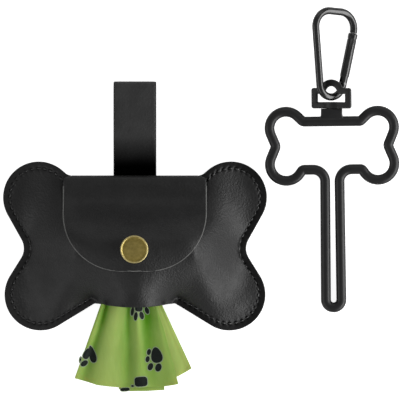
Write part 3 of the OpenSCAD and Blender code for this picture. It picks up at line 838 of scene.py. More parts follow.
@dataclass
class Stitching:
    """A row of stitches that a geometry tree lays along a line."""

    pitch: float = 3.3
    length: float = 2.1
    thread_r: float = 0.42
    lean: float = 0.1
    seed: int = 7
    tree: bpy.types.NodeTree = field(init=False)

    def __post_init__(self) -> None:
        """Builds the geometry tree with its named inputs."""
        tree = bpy.data.node_groups.new("stitch_row", "GeometryNodeTree")
        for name, kind in (("Geometry", "Geometry"), ("Pitch", "Float"), ("Half Length", "Float"),
                           ("Thread Radius", "Float"), ("Seed", "Int"), ("Thread", "Material")):
            tree.interface.new_socket(name=name, in_out="INPUT", socket_type="NodeSocket" + kind)
        tree.interface.new_socket(name="Geometry", in_out="OUTPUT", socket_type="NodeSocketGeometry")
        given = tree.nodes.new("NodeGroupInput").outputs
        curve = add_node(tree, "GeometryNodeMeshToCurve", None, {"Mesh": given["Geometry"]})
        points = add_node(tree, "GeometryNodeCurveToPoints", {"mode": "LENGTH"},
                          {"Curve": curve.outputs[0], "Length": given["Pitch"]})
        stitch = add_node(tree, "GeometryNodeMeshUVSphere", None, {"Segments": 10, "Rings": 8, "Radius": 1.0})
        size = add_node(tree, "ShaderNodeCombineXYZ", None,
                        {0: given["Thread Radius"], 1: given["Thread Radius"], 2: given["Half Length"]})
        lean = add_node(tree, "FunctionNodeRandomValue", {"data_type": "FLOAT_VECTOR"},
                        {0: (-self.lean,) * 3, 1: (self.lean,) * 3, "Seed": given["Seed"]})
        turn = add_node(tree, "FunctionNodeEulerToRotation", None, {0: lean.outputs[0]})
        both = add_node(tree, "FunctionNodeRotateRotation", {"rotation_space": "LOCAL"},
                        {0: points.outputs["Rotation"], 1: turn.outputs[0]})
        laid = add_node(tree, "GeometryNodeInstanceOnPoints", None,
                        {"Points": points.outputs["Points"], "Instance": stitch.outputs["Mesh"],
                         "Rotation": both.outputs[0], "Scale": size.outputs[0]})
        real = add_node(tree, "GeometryNodeRealizeInstances", None, {0: laid.outputs[0]})
        dressed = add_node(tree, "GeometryNodeSetMaterial", None,
                           {"Geometry": real.outputs[0], "Material": given["Thread"]})
        add_node(tree, "NodeGroupOutput", None, {0: dressed.outputs[0]})
        self.tree = tree

    def sew(self, shop: Workshop, name: str, lines: Sequence[Array]) -> Piece:
        """Lays stitches along the lines.

        Args:
            shop: where pieces are made.
            name: the new piece's name.
            lines: the needle's path of each run, in mm.

        Returns:
            The stitches as one plain mesh.
        """
        data = bpy.data.meshes.new(name)
        points, edges = [], []
        for line in lines:
            first = len(points)
            points += shop.placed(line).tolist()
            edges += [(first + i, first + i + 1) for i in range(len(line) - 1)]
        data.from_pydata(points, edges, [])
        piece = put(name, data)
        modifier = piece.modifiers.new("stitch_row", "NODES")
        modifier.node_group = self.tree
        values = {"Pitch": self.pitch * MM, "Half Length": self.length / 2 * MM,
                  "Thread Radius": self.thread_r * MM, "Seed": self.seed, "Thread": shop.finishes.thread}
        for item in self.tree.interface.items_tree:
            if item.in_out == "INPUT" and item.name in values:
                modifier[item.identifier] = values[item.name]
        shop.apply(piece)
        for polygon in piece.data.polygons:
            polygon.use_smooth = True
        return piece


# ---------- Pouch ----------


@dataclass
class Drape:
    """The height that leather takes when it is pulled over something and held along its edges."""

    step: float = 1.0
    half_x: int = 74
    half_y: int = 50
    pressure: float = 0.045
    passes: int = 2200
    soften: int = 6
    carry_on: int = 6

    def __post_init__(self) -> None:
        """Lays out the grid that the height is worked out on."""
        xs, ys = np.arange(-self.half_x, self.half_x + 1), np.arange(-self.half_y, self.half_y + 1)
        self.x, self.y = np.meshgrid(xs * self.step, ys * self.step)
        self.height = np.zeros_like(self.x)

    def within(self, line: Array) -> Array:
        """Which points of the grid lie inside a closed line."""
        inside = np.zeros(self.x.shape, bool)
        for (x1, y1), (x2, y2) in zip(line, np.roll(line, -1, 0)):
            if y1 != y2:
                crosses = (y1 > self.y) != (y2 > self.y)
                inside ^= crosses & (self.x < (x2 - x1) * (self.y - y1) / (y2 - y1) + x1)
        return inside

    def settle(self, loose: Array, missing: Array, held: Array, under: Array,
               over: Optional[Array] = None, push: float | Array = 0.0) -> None:
        """Pulls the leather tight over what lies under it.

        Args:
            loose: where the leather is free to move up and down.
            missing: where there is no leather, so that its edge hangs free.
            held: its height wherever it is held.
            under: the height of what it may not sink into.
            over: the height of what it may not rise through.
            push: pressure from below, besides the drape's own.
        """
        over = np.full_like(self.x, np.inf) if over is None else np.maximum(over, under)
        there = np.where(missing, 0.0, 1.0)
        height = np.where(loose, np.maximum(held, under), held)
        near = [(1, 0), (-1, 0), (1, 1), (-1, 1)]

        def around(values: Array) -> Array:
            """For each point, the sum over its four neighbours."""
            return sum(np.roll(values, shift, axis) for shift, axis in near)

        weight = around(there)
        for _ in range(self.passes):
            mean = around(height * there) / np.maximum(weight, 1)
            pulled = mean + (self.pressure + push) * self.step ** 2 / 4
            height = np.where(loose, np.clip(pulled, under, over), height)
        for _ in range(self.soften):
            mean = around(height * there) / np.maximum(weight, 1)
            height = np.where(loose, (height + mean) / 2, height)
        # Past a free edge the height is carried on, so that points on the edge find it.
        for _ in range(self.carry_on):
            weight = around(there)
            grow = (there == 0) & (weight > 0)
            height = np.where(grow, around(height * there) / np.maximum(weight, 1), height)
            there = np.where(grow, 1.0, there)
        self.height = height

    def at(self, x: Array, y: Array) -> Array:
        """The height at any place, on a smooth curve through the grid's points."""
        u = np.clip(np.asarray(x, float) / self.step + self.half_x, 1, 2 * self.half_x - 2.001)
        v = np.clip(np.asarray(y, float) / self.step + self.half_y, 1, 2 * self.half_y - 2.001)
        i, j = u.astype(int), v.astype(int)
        total = 0.0
        for a, wide in enumerate(self.weights(u - i)):
            for b, tall in enumerate(self.weights(v - j)):
                total = total + wide * tall * self.height[j + b - 1, i + a - 1]
        return total

    @staticmethod
    def weights(t: Array) -> tuple[Array, ...]:
        """How much each of four points in a row counts for a place between the middle two."""
        return ((-t + 2 * t ** 2 - t ** 3) / 2, (2 - 5 * t ** 2 + 3 * t ** 3) / 2,
                (t + 4 * t ** 2 - 3 * t ** 3) / 2, (t ** 3 - t ** 2) / 2)


@dataclass
class Pouch:
    """The bone-shaped pouch: two panels sewn along their rim, a flap with its fold, and the strap."""

    width: float = 140.0
    height: float = 89.6
    lobe_r: float = 19.0
    leather: float = 1.4
    lift: float = 4.9
    seam: float = 3.7
    seam_gap: float = 0.2
    top_dip: float = 7.4
    front_drop: float = 10.4
    mouth_dip: float = 12.6
    mouth_w: float = 43.2
    mouth_arch: float = 2.4
    waist_in: float = 11.0
    notch_r: float = 9.5
    notch_y: float = -1.3
    top_fillet: float = 5.0
    crown: float = 24.2
    roll_l: float = 60.0
    roll_z: float = 18.5
    crease_r: float = 3.6
    flap_half: float = 38.0
    fold_rise: float = 2.9
    flap_corner_r: float = 31.0
    flap_tip: float = 13.1
    flap_gap: float = 1.1
    stud_gap: float = 2.1
    flap_stud_y: float = -1.5
    strap_stud_y: float = 14.0
    strap_w: float = 22.7
    strap_top: float = 87.3
    strap_gap: float = 5.2
    strap_rise: float = 30.0
    cap_h: float = 1.4
    rays: int = 400
    rings: int = 26
    pitch: float = 3.3
    groove: float = 0.3
    dent: float = 0.9
    back_groove: float = 0.45

    # How far from the rim the rings of points outside the seam lie
    RIM_RINGS = (0.0, 0.18, 0.5, 1.1, 1.9, 2.6, 3.1, 3.45)
    # How many of these rings the edge paint covers: where the rim isn't sewn, between stitches, and at the
    # stitches' ends, where it reaches further in as painted shade in the needle holes
    PAINTED_OPEN, PAINTED_BETWEEN, PAINTED_ENDS = 1, 6, 9
    # How hard the thread has to pull on a place for it to count as a stitch's end
    END_PULL = 0.55

    def __post_init__(self) -> None:
        """Works out the places that follow from the sizes."""
        self.lobe_x = self.width / 2 - self.lobe_r
        self.lobe_y = self.height / 2 - self.lobe_r
        self.crease_top = self.height / 2 - self.top_dip
        self.crease_y = self.crease_top - self.crease_r
        self.crease_z = self.lift + self.crease_r
        self.front_top = self.crease_top - self.front_drop
        self.mouth_y = -self.height / 2 + self.mouth_dip
        self.panel_base = self.lift + self.leather + self.seam_gap
        self.spine_half = self.width / 2 - self.waist_in - 11
        self.front_drape, self.flap_drape = Drape(), Drape(pressure=-0.2, soften=70)
        self.settle_flap(np.zeros_like(self.flap_drape.x))
        self.settle_front()
        self.settle_flap(self.front_drape.height)

    # Surfaces

    def droop(self, x: Array) -> Array:
        """Height of the back panel's underside: raised in the middle, on the table in the lobes."""
        start, end = self.flap_half - 2, self.width / 2 - 9
        return self.lift * (1 - smooth((np.abs(x) - start) / (end - start)))

    def over_roll(self, spare: float, past: float) -> Array:
        """Height of the roll above the back panel, with some spare room round it, where there is roll.

        Args:
            spare: how far above the roll's highest line the leather passes.
            past: how far the room reaches past the roll's ends.
        """
        d = self.front_drape
        base = self.droop(d.x) + self.leather + self.seam_gap
        reach = self.crown + self.panel_base - self.roll_z + spare
        roll = self.roll_z + np.sqrt(np.clip(reach ** 2 - d.y ** 2, 0, None)) - base
        return np.where((np.abs(d.x) <= self.roll_l / 2 + past) & (np.abs(d.y) < reach * 0.92), roll, 0.0)

    def settle_front(self) -> None:
        """Pulls the front over the roll: held along its seam, free along its mouth and its top edge."""
        d = self.front_drape
        halves = self.bone(self.front_top)
        rim = np.concatenate(halves)
        seam = np.concatenate([self.ray_rows(half, sign, [self.seam], 1)[0][:, 0]
                               for half, sign in zip(halves, (1.0, -1.0))])
        past_seam = np.clip(self.mouth_y + self.seam + 2 - d.y, 0, None)
        mouth = (np.abs(d.x) < self.mouth_w / 2 - 0.3 - 0.55 * past_seam) & (d.y < self.mouth_y + 8)
        top = (np.abs(d.x) < self.fillet_x(self.front_top) + 2) & (d.y > self.front_top - 8)
        sheet = d.within(rim)
        loose = d.within(seam) | (sheet & (mouth | top))
        missing = ~sheet & ~loose & (top | ((np.abs(d.x) < self.mouth_w / 2 - 5) & (d.y < self.mouth_y + 8)))
        # Under the flap the leather stays this far below it, and elsewhere nothing holds it down.
        flap_room, no_roof = 0.75, 99.0
        below_flap = (d.y > 2) & (np.abs(d.x) < self.roll_l / 2 + 2)
        over = np.where(below_flap, self.flap_drape.height - flap_room, no_roof)
        # The lobes are drawn down a little, from the roll's ends outward.
        sink = -0.06 * smooth((np.abs(d.x) - 38) / 16)
        d.settle(loose, missing, np.zeros_like(d.x), self.over_roll(-0.2, 2.0), over, sink)
        d.height *= self.crown / float(d.at(np.array(0.0), np.array(self.flap_stud_y)))

    def settle_flap(self, front: Array) -> None:
        """Pulls the flap from its fold down to the stud.

        Args:
            front: height of the front below it.
        """
        d = self.flap_drape
        away = np.exp(-((d.x / 10) ** 2 + ((d.y - self.flap_stud_y) / 10) ** 2))
        gap = self.flap_gap + (self.stud_gap - self.flap_gap) * away
        wide = np.abs(d.x) <= self.flap_half + 1
        crease = (d.y >= self.crease_y - 0.5) & wide
        loose = (d.y < self.crease_y - 0.5) & (d.y > -self.flap_tip - 3) & wide
        stud = d.x ** 2 + (d.y - self.flap_stud_y) ** 2 < 25
        held = np.where(crease, self.fold_rise, np.where(stud, self.crown + self.stud_gap, 0.0))
        under = np.where(d.y < self.front_top - 1, np.maximum(front, self.over_roll(-0.2, 0.0)) + gap, 0.0)
        d.settle(loose & ~stud, ~(loose | crease), held, under)

    def flap_z(self, x: Array, y: Array) -> Array:
        """Height of the middle of the flap's leather."""
        return self.panel_base + self.leather * 1.5 + self.flap_drape.at(x, y)

    # Outline

    def fillet_x(self, y: float) -> float:
        """Where the fillet beside the upper lobe has its middle, for an upper edge at height y."""
        r = self.top_fillet
        return self.lobe_x - math.sqrt(max(1.0, (self.lobe_r + r) ** 2 - (y + r - self.lobe_y) ** 2)) - 0.2

    def bone(self, top: float) -> tuple[Array, Array]:
        """The outline, as its upper and its lower half from one side notch to the other.

        Args:
            top: height of the middle of the upper edge.

        Returns:
            The upper half from right to left, and the lower half from left to right.
        """
        x, y, r, half = self.lobe_x, self.lobe_y, self.lobe_r, self.width / 2 - self.waist_in
        arch = self.mouth_arch
        bulge = (self.mouth_w ** 2 / 4 + arch ** 2) / (2 * arch)
        notch = Round(half + self.notch_r, self.notch_y, self.notch_r, Turn.IN)
        fillet = Round(self.fillet_x(top), top + self.top_fillet, self.top_fillet, Turn.IN)
        corner = Round(self.mouth_w / 2 - 0.6, self.mouth_y + 0.6, 1.2, Turn.IN)
        # The lower lobes lie a little nearer the middle, and the upper edge is all but straight.
        lower, straight = Round(x - 0.8, -y, r), 2000
        line = outline([Round(x, y, r), fillet, Round(0, top - straight, straight), fillet.flipped(),
                        Round(-x, y, r), notch.flipped(), lower.flipped(), corner.flipped(),
                        Round(0, self.mouth_y + bulge, bulge), corner, lower, notch])
        right = int(np.argmin(np.hypot(line[:, 0] - half, line[:, 1] - self.notch_y)))
        line = np.roll(line, -right, 0)
        left = int(np.argmin(np.hypot(line[:, 0] + half, line[:, 1] - self.notch_y)))
        return (resampled(line[:left + 1], self.rays),
                resampled(np.concatenate([line[left:], line[:1]]), self.rays))

    def open_edge(self, p: Array) -> Array:
        """How far each point of the rim stands open: 0 where it is sewn."""
        x, y = p[:, 0], p[:, 1]
        half = self.fillet_x(self.front_top) + 4
        mouth = 0.75 * np.cos(math.pi / 2 * np.clip(np.abs(x) / (self.mouth_w / 2), 0, 1)) ** 0.6
        top = np.cos(math.pi / 2 * np.clip(np.abs(x) / half, 0, 1)) ** 0.5
        return np.where(y < 0, np.where(np.abs(x) < self.mouth_w / 2 - 0.2, mouth, 0),
                        np.where((y < self.front_top + 3) & (np.abs(x) < half), top, 0))

    def ray_rows(self, half: Array, sign: float, distances: Sequence[float],
                 rings: int) -> tuple[Array, Array]:
        """Points on rays that run from the rim to the spine along the pouch's middle.

        Args:
            half: half of the outline.
            sign: 1 for the upper half, -1 for the lower.
            distances: distances from the rim of the rings outside the seam.
            rings: how many rings lie between the seam and the spine.

        Returns:
            The points by ray and ring, and each one's distance from the rim.
        """
        run = unit(np.gradient(half, axis=0))
        inward = np.stack([-run[:, 1], run[:, 0]], 1)
        spine = np.stack([sign * self.spine_half * np.cos(math.pi * np.linspace(0, 1, len(half))),
                          np.zeros(len(half))], 1)
        seam = half + inward * self.seam
        rows = [half + inward * d for d in distances]
        where = [np.full(len(half), d) for d in distances]
        length = np.linalg.norm(spine - seam, axis=1)
        for ring in range(1, rings + 1):
            share = (ring / rings) ** 1.15
            rows.append(seam + (spine - seam) * share)
            where.append(self.seam + length * share)
        return np.stack(rows, 1), np.stack(where, 1)

    def panel_skin(self, top: float, height: Callable[..., Array], clip: bool) -> tuple[Array, Array]:
        """One face of a panel as a closed fan of rays, pulled in at each stitch.

        Args:
            top: height of the middle of the upper edge.
            height: gives each point's height from its x, y, distance to the rim and opening.
            clip: whether the outline is cut for the flap's fold.

        Returns:
            The points by ray and ring, and how hard the thread pulls on each ray, below 0 where it is open.
        """
        near = [*self.RIM_RINGS, self.seam]
        parts, hold = [], []
        for half, sign in zip(self.bone(top), (1.0, -1.0)):
            if clip:
                cut = self.fold_half(-1.0) + 0.3
                tall = (np.abs(half[:, 0]) < cut) & (half[:, 1] > self.crease_y)
                half[tall, 1] = self.crease_y
            q, d = self.ray_rows(half, sign, near, self.rings)
            gape = np.zeros(len(half)) if clip else self.open_edge(half)
            is_open = gape > 0.001
            gape = np.where(is_open, gape, -self.pull(q[:, len(self.RIM_RINGS)], is_open))[:, None]
            parts.append(np.concatenate([q, height(q[..., 0], q[..., 1], d, gape)[..., None]], 2)[:-1])
            hold.append(-gape[:-1, 0])
        return np.concatenate(parts), np.concatenate(hold)

    def pull(self, seam: Array, is_open: Array) -> Array:
        """How hard the thread pulls along a seam, from 1 beside a stitch's ends to 0 at its middle."""
        step = np.concatenate([[0], np.linalg.norm(np.diff(seam, axis=0), axis=1)])
        along, run = np.zeros(len(seam)), 0.0
        for i, length in enumerate(step):
            run = 0.0 if is_open[i] else run + length
            along[i] = run
        return 0.5 - 0.5 * np.cos(2 * math.pi * along / self.pitch)

    def panel(self, shop: Workshop, name: str, top: float, upper: Callable[..., Array],
              lower: Callable[..., Array], clip: bool = False) -> Piece:
        """A leather panel between an upper and a lower face, with a painted rim.

        Args:
            shop: where pieces are made.
            name: the panel's name.
            top: height of the middle of its upper edge.
            upper: the height of its outer face, as panel_skin takes it.
            lower: the height of its inner face.
            clip: whether its outline is cut for the flap's fold.

        Returns:
            The new object.
        """
        a, hold = self.panel_skin(top, upper, clip)
        b, _ = self.panel_skin(top, lower, clip)
        count, rings = a.shape[:2]
        flat = count * rings
        points = np.concatenate([a.reshape(-1, 3), b.reshape(-1, 3)])
        faces, kinds = [], []
        for j in range(count):
            k = (j + 1) % count
            # The paint runs up to the seam, and on into the dents that the thread pulls, where its black is
            # painted shade in the needle holes.
            if clip or hold[j] < 0:
                painted = self.PAINTED_OPEN
            else:
                painted = self.PAINTED_BETWEEN if hold[j] < self.END_PULL else self.PAINTED_ENDS
            for i in range(rings - 1):
                quad = (j * rings + i, k * rings + i, k * rings + i + 1, j * rings + i + 1)
                faces += [quad, tuple(flat + v for v in quad[::-1])]
                kinds += [1 if i < painted else 0] * 2
            faces.append((j * rings, flat + j * rings, flat + k * rings, k * rings))
            kinds.append(1)
        return shop.mesh(name, points, faces, [shop.finishes.leather, shop.finishes.edge], kinds)

    @staticmethod
    def roll_off(d: Array) -> Array:
        """How far a face drops towards its rounded rim."""
        return 0.3 * (1 - np.sqrt(np.clip(1 - (1 - np.clip(d / 0.5, 0, 1)) ** 2, 0, 1)))

    def front_height(self, x: Array, y: Array) -> Array:
        """Height of the front panel's inner face above the table."""
        return self.droop(x) + self.leather + self.seam_gap + np.maximum(self.front_drape.at(x, y), 0.0)

    def creases(self, x: Array, y: Array, d: Array) -> Array:
        """The soft hollows and ridges that the moulded leather has between the roll and the lobes."""
        deep = np.zeros_like(x)
        for cx, cy, turn, long, wide, high in self.FOLDS:
            c, s = math.cos(math.radians(turn)), math.sin(math.radians(turn))
            u, v = (x - cx) * c + (y - cy) * s, -(x - cx) * s + (y - cy) * c
            deep += high * np.exp(-(u / long) ** 2 - (v / wide) ** 2)
        return deep * smooth((d - self.seam - 0.5) / 8)

    # Middle, direction, half length, half width and height of each soft ridge or hollow
    FOLDS = (
        (2.5, -27, 88, 11, 3.2, 0.5), (10, -24, 90, 11, 6, 0.5), (-42, -20, 20, 8, 4, -0.3),
        (44, -19, -25, 9, 4, -0.4), (30, -20, 70, 10, 4, -0.5), (20, -22, 80, 10, 5, 0.3),
        (-57, -25, -60, 7, 4, 0.4), (56, -34, 0, 11, 9, 1.4), (-56, 25, 60, 7, 4, 0.4),
        (56, 25, -60, 7, 4, 0.4),
    )

    def front_upper(self, x: Array, y: Array, d: Array, gape: Array) -> Array:
        """Height of the front panel's outer face, with the groove that the stitching pulls in."""
        sewn = gape <= 0
        pull = np.clip(-gape, 0, 1)
        deep, wide = self.groove + self.dent * pull ** 2, 0.65 + 0.2 * pull
        groove = deep * np.exp(-((d - self.seam) / wide) ** 2) * sewn
        turned = 0.1 * smooth((self.seam - 0.6 - d) / 2.6) * sewn
        return (self.front_height(x, y) + self.leather - groove - turned - self.roll_off(d)
                + self.creases(x, y, d))

    def front_lower(self, x: Array, y: Array, d: Array, gape: Array) -> Array:
        """Height of the front panel's inner face."""
        return self.front_height(x, y) + self.creases(x, y, d) - 0.02

    def back_upper(self, x: Array, y: Array, d: Array, gape: Array) -> Array:
        """Height of the back panel's inner face."""
        return self.droop(x) + self.leather - self.roll_off(d) * 0.4

    def back_lower(self, x: Array, y: Array, d: Array, gape: Array) -> Array:
        """Height of the back panel's outer face, which lies on the table under the lobes."""
        groove = (self.back_groove + 0.2 * np.clip(-gape, 0, 1)) * np.exp(-((d - self.seam) / 0.8) ** 2)
        return self.droop(x) + self.roll_off(d) + groove

    def fold_half(self, share: float) -> float:
        """Half the fold's width: narrow below, where it leaves the back panel, full above."""
        narrow = self.lobe_x - math.sqrt(self.lobe_r ** 2 - (self.crease_y - self.lobe_y) ** 2) - 0.3
        return narrow + (self.flap_half - 0.6 - narrow) * float(smooth(np.array(share)))

    def seam_lines(self) -> list[Array]:
        """The needle's paths along the sewn stretches of the rim."""
        lines = []
        for half, sign in zip(self.bone(self.front_top), (1.0, -1.0)):
            q, _ = self.ray_rows(half, sign, [self.seam], 1)
            sewn = self.open_edge(half) < 0.001
            p, x = q[:, 0], q[:, 0, 0]
            z = self.droop(x) + self.leather * 2 + self.seam_gap + 0.02
            line = np.concatenate([p, z[:, None]], 1)
            cuts = np.flatnonzero(np.diff(sewn.astype(int)))
            for part, keep in zip(np.split(line, cuts + 1), np.split(sewn, cuts + 1)):
                if keep[0] and len(part) > 6:
                    lines.append(part)
        return lines

    # Pieces

    def make_panels(self, shop: Workshop) -> None:
        """Makes the two panels and the stitching that joins them."""
        back = self.panel(shop, "back_leather", self.crease_top, self.back_upper, self.back_lower, clip=True)
        shop.hand_over(back, "pouch", ["back_panel"])
        front = self.panel(shop, "front_leather", self.front_top, self.front_upper, self.front_lower)
        shop.hand_over(front, "pouch", ["front_panel"])
        stitches = Stitching(self.pitch).sew(shop, "rim_stitching", self.seam_lines())
        shop.hand_over(stitches, "pouch")
        under = [np.concatenate([line[:, :2], (self.droop(line[:, 0]) + 0.46)[:, None]], 1)
                 for line in self.seam_lines()]
        back_stitches = Stitching(self.pitch, seed=11).sew(shop, "rim_stitching_back", under)
        shop.hand_over(back_stitches, "pouch")

    def make_flap(self, shop: Workshop) -> None:
        """Makes the flap and the fold that carries it as one sheet of leather.

        Args:
            shop: where pieces are made.
        """
        columns = np.linspace(-1, 1, 61)
        middle_r = self.crease_r - self.leather / 2
        rows, fold_rows = [], 22
        for a in np.radians(np.linspace(-88, 62, fold_rows)):
            half = self.fold_half(math.degrees(a) / 55)
            y, z = self.crease_y + middle_r * math.cos(a), self.crease_z + middle_r * math.sin(a)
            rows.append([(half * c, y, z) for c in columns])
        r = self.flap_corner_r
        arc_y, flat = -self.flap_tip + r, self.flap_half - r
        edge = [(y, self.flap_half) for y in np.linspace(self.crease_y - 0.6, arc_y, 14)[:-1]]
        # The rows lie closer together towards the tip, where the edge turns.
        for t in np.linspace(1, 0, 34):
            deep = r * t ** 1.25
            edge.append((arc_y - r + deep, flat + math.sqrt(max(0.0, r * r - (r - deep) ** 2))))
        for y, half in edge:
            x = half * columns
            rows.append(np.stack([x, np.full_like(x, y), self.flap_z(x, np.full_like(x, y))], 1))
        # The band of the edge's material round the flap is a painted highlight along its cut edge.
        piece = shop.sheet("flap_leather", np.array([np.array(row) for row in rows]), self.leather,
                           [shop.finishes.leather, shop.finishes.edge_highlight], edge=0.3, bead=0.5,
                           bead_row=fold_rows + 1)
        low, high = self.crease_z - 3.0, self.crease_z + 3.4
        tuple(shop.placed([0, self.crease_y, low]))
        tuple(shop.placed([0, self.crease_y, high]))
        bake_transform(piece)
        shop.hand_over(piece, None, ["flap", "flap_fold"])

    def make_strap(self, shop: Workshop) -> None:
        """Makes the strap's front leg with its top fold, the tail behind it and the sewn end's stitches.

        Args:
            shop: where pieces are made.
        """
        fold_r = (self.strap_gap + 2 * self.leather) / 2
        fold_y = self.strap_top - fold_r
        mid = self.leather / 2
        front_z, rear_z = self.leather + self.strap_gap + mid, self.lift - mid
        line = [(y, rear_z) for y in np.linspace(self.crease_top - 11, self.crease_top, 8)]
        rise_end = self.crease_top + self.strap_rise
        rise = np.linspace(self.crease_top, rise_end, 22)[1:]
        share = smooth((rise - self.crease_top) / self.strap_rise)
        line += list(zip(rise, rear_z + (front_z - rear_z) * share))
        line += [(y, front_z) for y in np.linspace(rise_end, fold_y, 8)[1:]]
        line += [(fold_y + (fold_r - mid) * math.sin(a), fold_r + (fold_r - mid) * math.cos(a))
                 for a in np.linspace(0, math.pi, 26)[1:]]
        columns = np.linspace(-self.strap_w / 2, self.strap_w / 2, 15)
        grid = np.array([[(x, y, z) for x in columns] for y, z in line])
        leg = shop.sheet("strap_leather", grid, self.leather,
                         [shop.finishes.strap_leather, shop.finishes.edge], edge=0.4)
        reach = np.array([0, 0.5, -1.0]) / math.hypot(0.5, 1.0)
        start = np.array([0.0, fold_y, fold_r * 2 - mid])
        end = start + reach * float(reach @ (np.array([0, fold_y, mid]) - start))
        tuple(shop.placed(start + reach * 1.2))
        tuple(shop.placed(end))
        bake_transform(leg)
        shop.hand_over(leg, None, ["strap", "strap_fold"])
        self.make_tail(shop, fold_y)

    def make_tail(self, shop: Workshop, fold_y: float) -> None:
        """Makes the strap's rounded tail and the stitches of its sewn end.

        Args:
            shop: where pieces are made.
            fold_y: how high up the strap's top fold begins.
        """
        mid, half = self.leather / 2, self.strap_w / 2
        end_y = self.strap_stud_y - 9.5
        low, high = self.crease_top + 4, self.crease_top + 22
        # The first row would be a point, and is kept this share of the width.
        tip = 0.16
        rows = [(end_y + half * (1 - math.cos(t)), half * (math.sin(t) if t > 0.02 else tip))
                for t in np.linspace(0, math.pi / 2, 18)]
        rows += [(y, half) for y in np.linspace(end_y + half, fold_y, 44)[1:]]
        columns = np.linspace(-1, 1, 17)
        lift = [mid + self.cap_h * float(smooth((high - y) / (high - low))) for y, _ in rows]
        grid = np.array([[(w * c, y, z) for c in columns] for (y, w), z in zip(rows, lift)])
        tail = shop.sheet("strap_tail_leather", grid, self.leather,
                          [shop.finishes.tail_leather, shop.finishes.edge], edge=0.4)
        shop.hand_over(tail, "strap_tail", ["strap_tail"])
        x, low_y, high_y = half - 2.6, self.crease_top - 9, self.crease_top - 2
        z = self.lift - self.leather - 0.02
        a, b, c, d = (-x, low_y, z), (x, low_y, z), (x, high_y, z), (-x, high_y, z)
        runs = [np.array(run) for run in ((a, b, c, d, a), (a, c), (b, d))]
        sewn = Stitching(2.3, 1.6, 0.28).sew(shop, "strap_stitching", runs)
        shop.hand_over(sewn, "pouch")


# ---------- Press studs ----------


@dataclass
class PressStud:
    """The cap of a press stud: a pressed disc with a rolled rim round a shallow dish."""

    name: str
    node: str
    body: str
    y: float
    z: float
    face: float = 1.0
    radius: float = 7.35
    height: float = 1.4
    base: float = 3.5

    def make(self, shop: Workshop) -> None:
        """Turns the cap and gives it its wear.

        Args:
            shop: where pieces are made.
        """
        r, h, b = self.radius, self.height, self.base
        rim = [(0.01, b - 1.9), (1.5, b - 1.9), (1.5, b), (r - 0.55, b), (r - 0.2, b + 0.1), (r, b + 0.35)]
        # The rolled rim and the dish inside it: how far in each point lies, and its share of the height.
        rim += [(r - inward, b + share * h) for inward, share in (
            (0.0, 0.6), (0.06, 0.76), (0.16, 0.9), (0.32, 0.98), (0.48, 1), (0.64, 0.97), (0.78, 0.88),
            (0.92, 0.72), (1.1, 0.62), (1.6, 0.66), (2.6, 0.76))]
        rim += [(3.0, b + 0.88 * h), (1.5, b + 0.94 * h), (0.01, b + 0.96 * h)]
        wear = [0, 0, 0, 0.1, 0.2, 0.3, 0.5, 0.8, 1, 1, 1, 0.9, 0.5, 0.1, 0, 0, 0.05, 0.1, 0.1, 0.1]

        def to_place(points: Array) -> Array:
            """Puts the cap on its leather, face up or down."""
            moved = points.copy()
            moved[:, 2] = self.z + self.face * points[:, 2]
            moved[:, 1] = self.y + self.face * points[:, 1]
            return moved

        cap = shop.lathe(self.name, np.array(rim), to_place, shop.finishes.brass, 96, wear)
        shop.hand_over(cap, self.body, [self.node])


# ---------- Roll and bag ----------


@dataclass
class BagRoll:
    """The roll of bags: film wound on a cardboard core."""

    length: float = 60.0
    radius: float = 11.0
    core_r: float = 6.5
    core_wall: float = 1.0
    z: float = 18.5

    def along_x(self, points: Array) -> Array:
        """Lays turned points down along X at the roll's height."""
        return np.stack([points[:, 2], points[:, 0], self.z + points[:, 1]], 1)

    def make(self, shop: Workshop) -> None:
        """Turns the wound film and its core.

        Args:
            shop: where pieces are made.
        """
        half, r, inner = self.length / 2, self.radius, self.core_r + 0.06
        profile = [(inner, -half + 0.3), (inner + 0.4, -half)]
        # The windings stand out by turns, at the roll's end and round it.
        profile += [(inner + 0.4 + (r - inner - 0.8) * t, -half + 0.16 * (i % 2))
                    for i, t in enumerate(np.linspace(0, 1, 14))]
        profile += [(r - 0.1, -half + 0.4)]
        end = list(profile)
        profile += [(r - 0.06 * (i % 2), y) for i, y in enumerate(np.linspace(-half + 0.8, half - 0.8, 12))]
        profile += [(radius, -y) for radius, y in reversed(end)]
        profile.append(profile[0])
        roll = shop.lathe("wound_film", np.array(profile), self.along_x, shop.finishes.film, 72)
        shop.hand_over(roll, "roll", ["bag_roll"])
        bore, end = self.core_r - self.core_wall, half - 0.5
        tube = [(bore, -end), (self.core_r, -end), (self.core_r, end), (bore, end), (bore, -end)]
        core = shop.lathe("card_core", np.array(tube), self.along_x, shop.finishes.board, 64)
        shop.bevel(core, 0.15)
        shop.hand_over(core, "roll", ["roll_core"])


@dataclass
class Layer:
    """One visible layer of the gathered bag.

    The hem's points run from left to right, and each fold is a place across, a half width and a height. Under
    says how deep the layer lies, from 0 for the uppermost, and covered how far across it that one hides it.
    """

    name: str
    mouth: tuple[tuple[float, float], tuple[float, float]]
    hem: tuple[tuple[float, float], ...]
    under: float
    folds: tuple[tuple[float, float, float], ...]
    pale: float = 0.27
    covered: float = 1.2


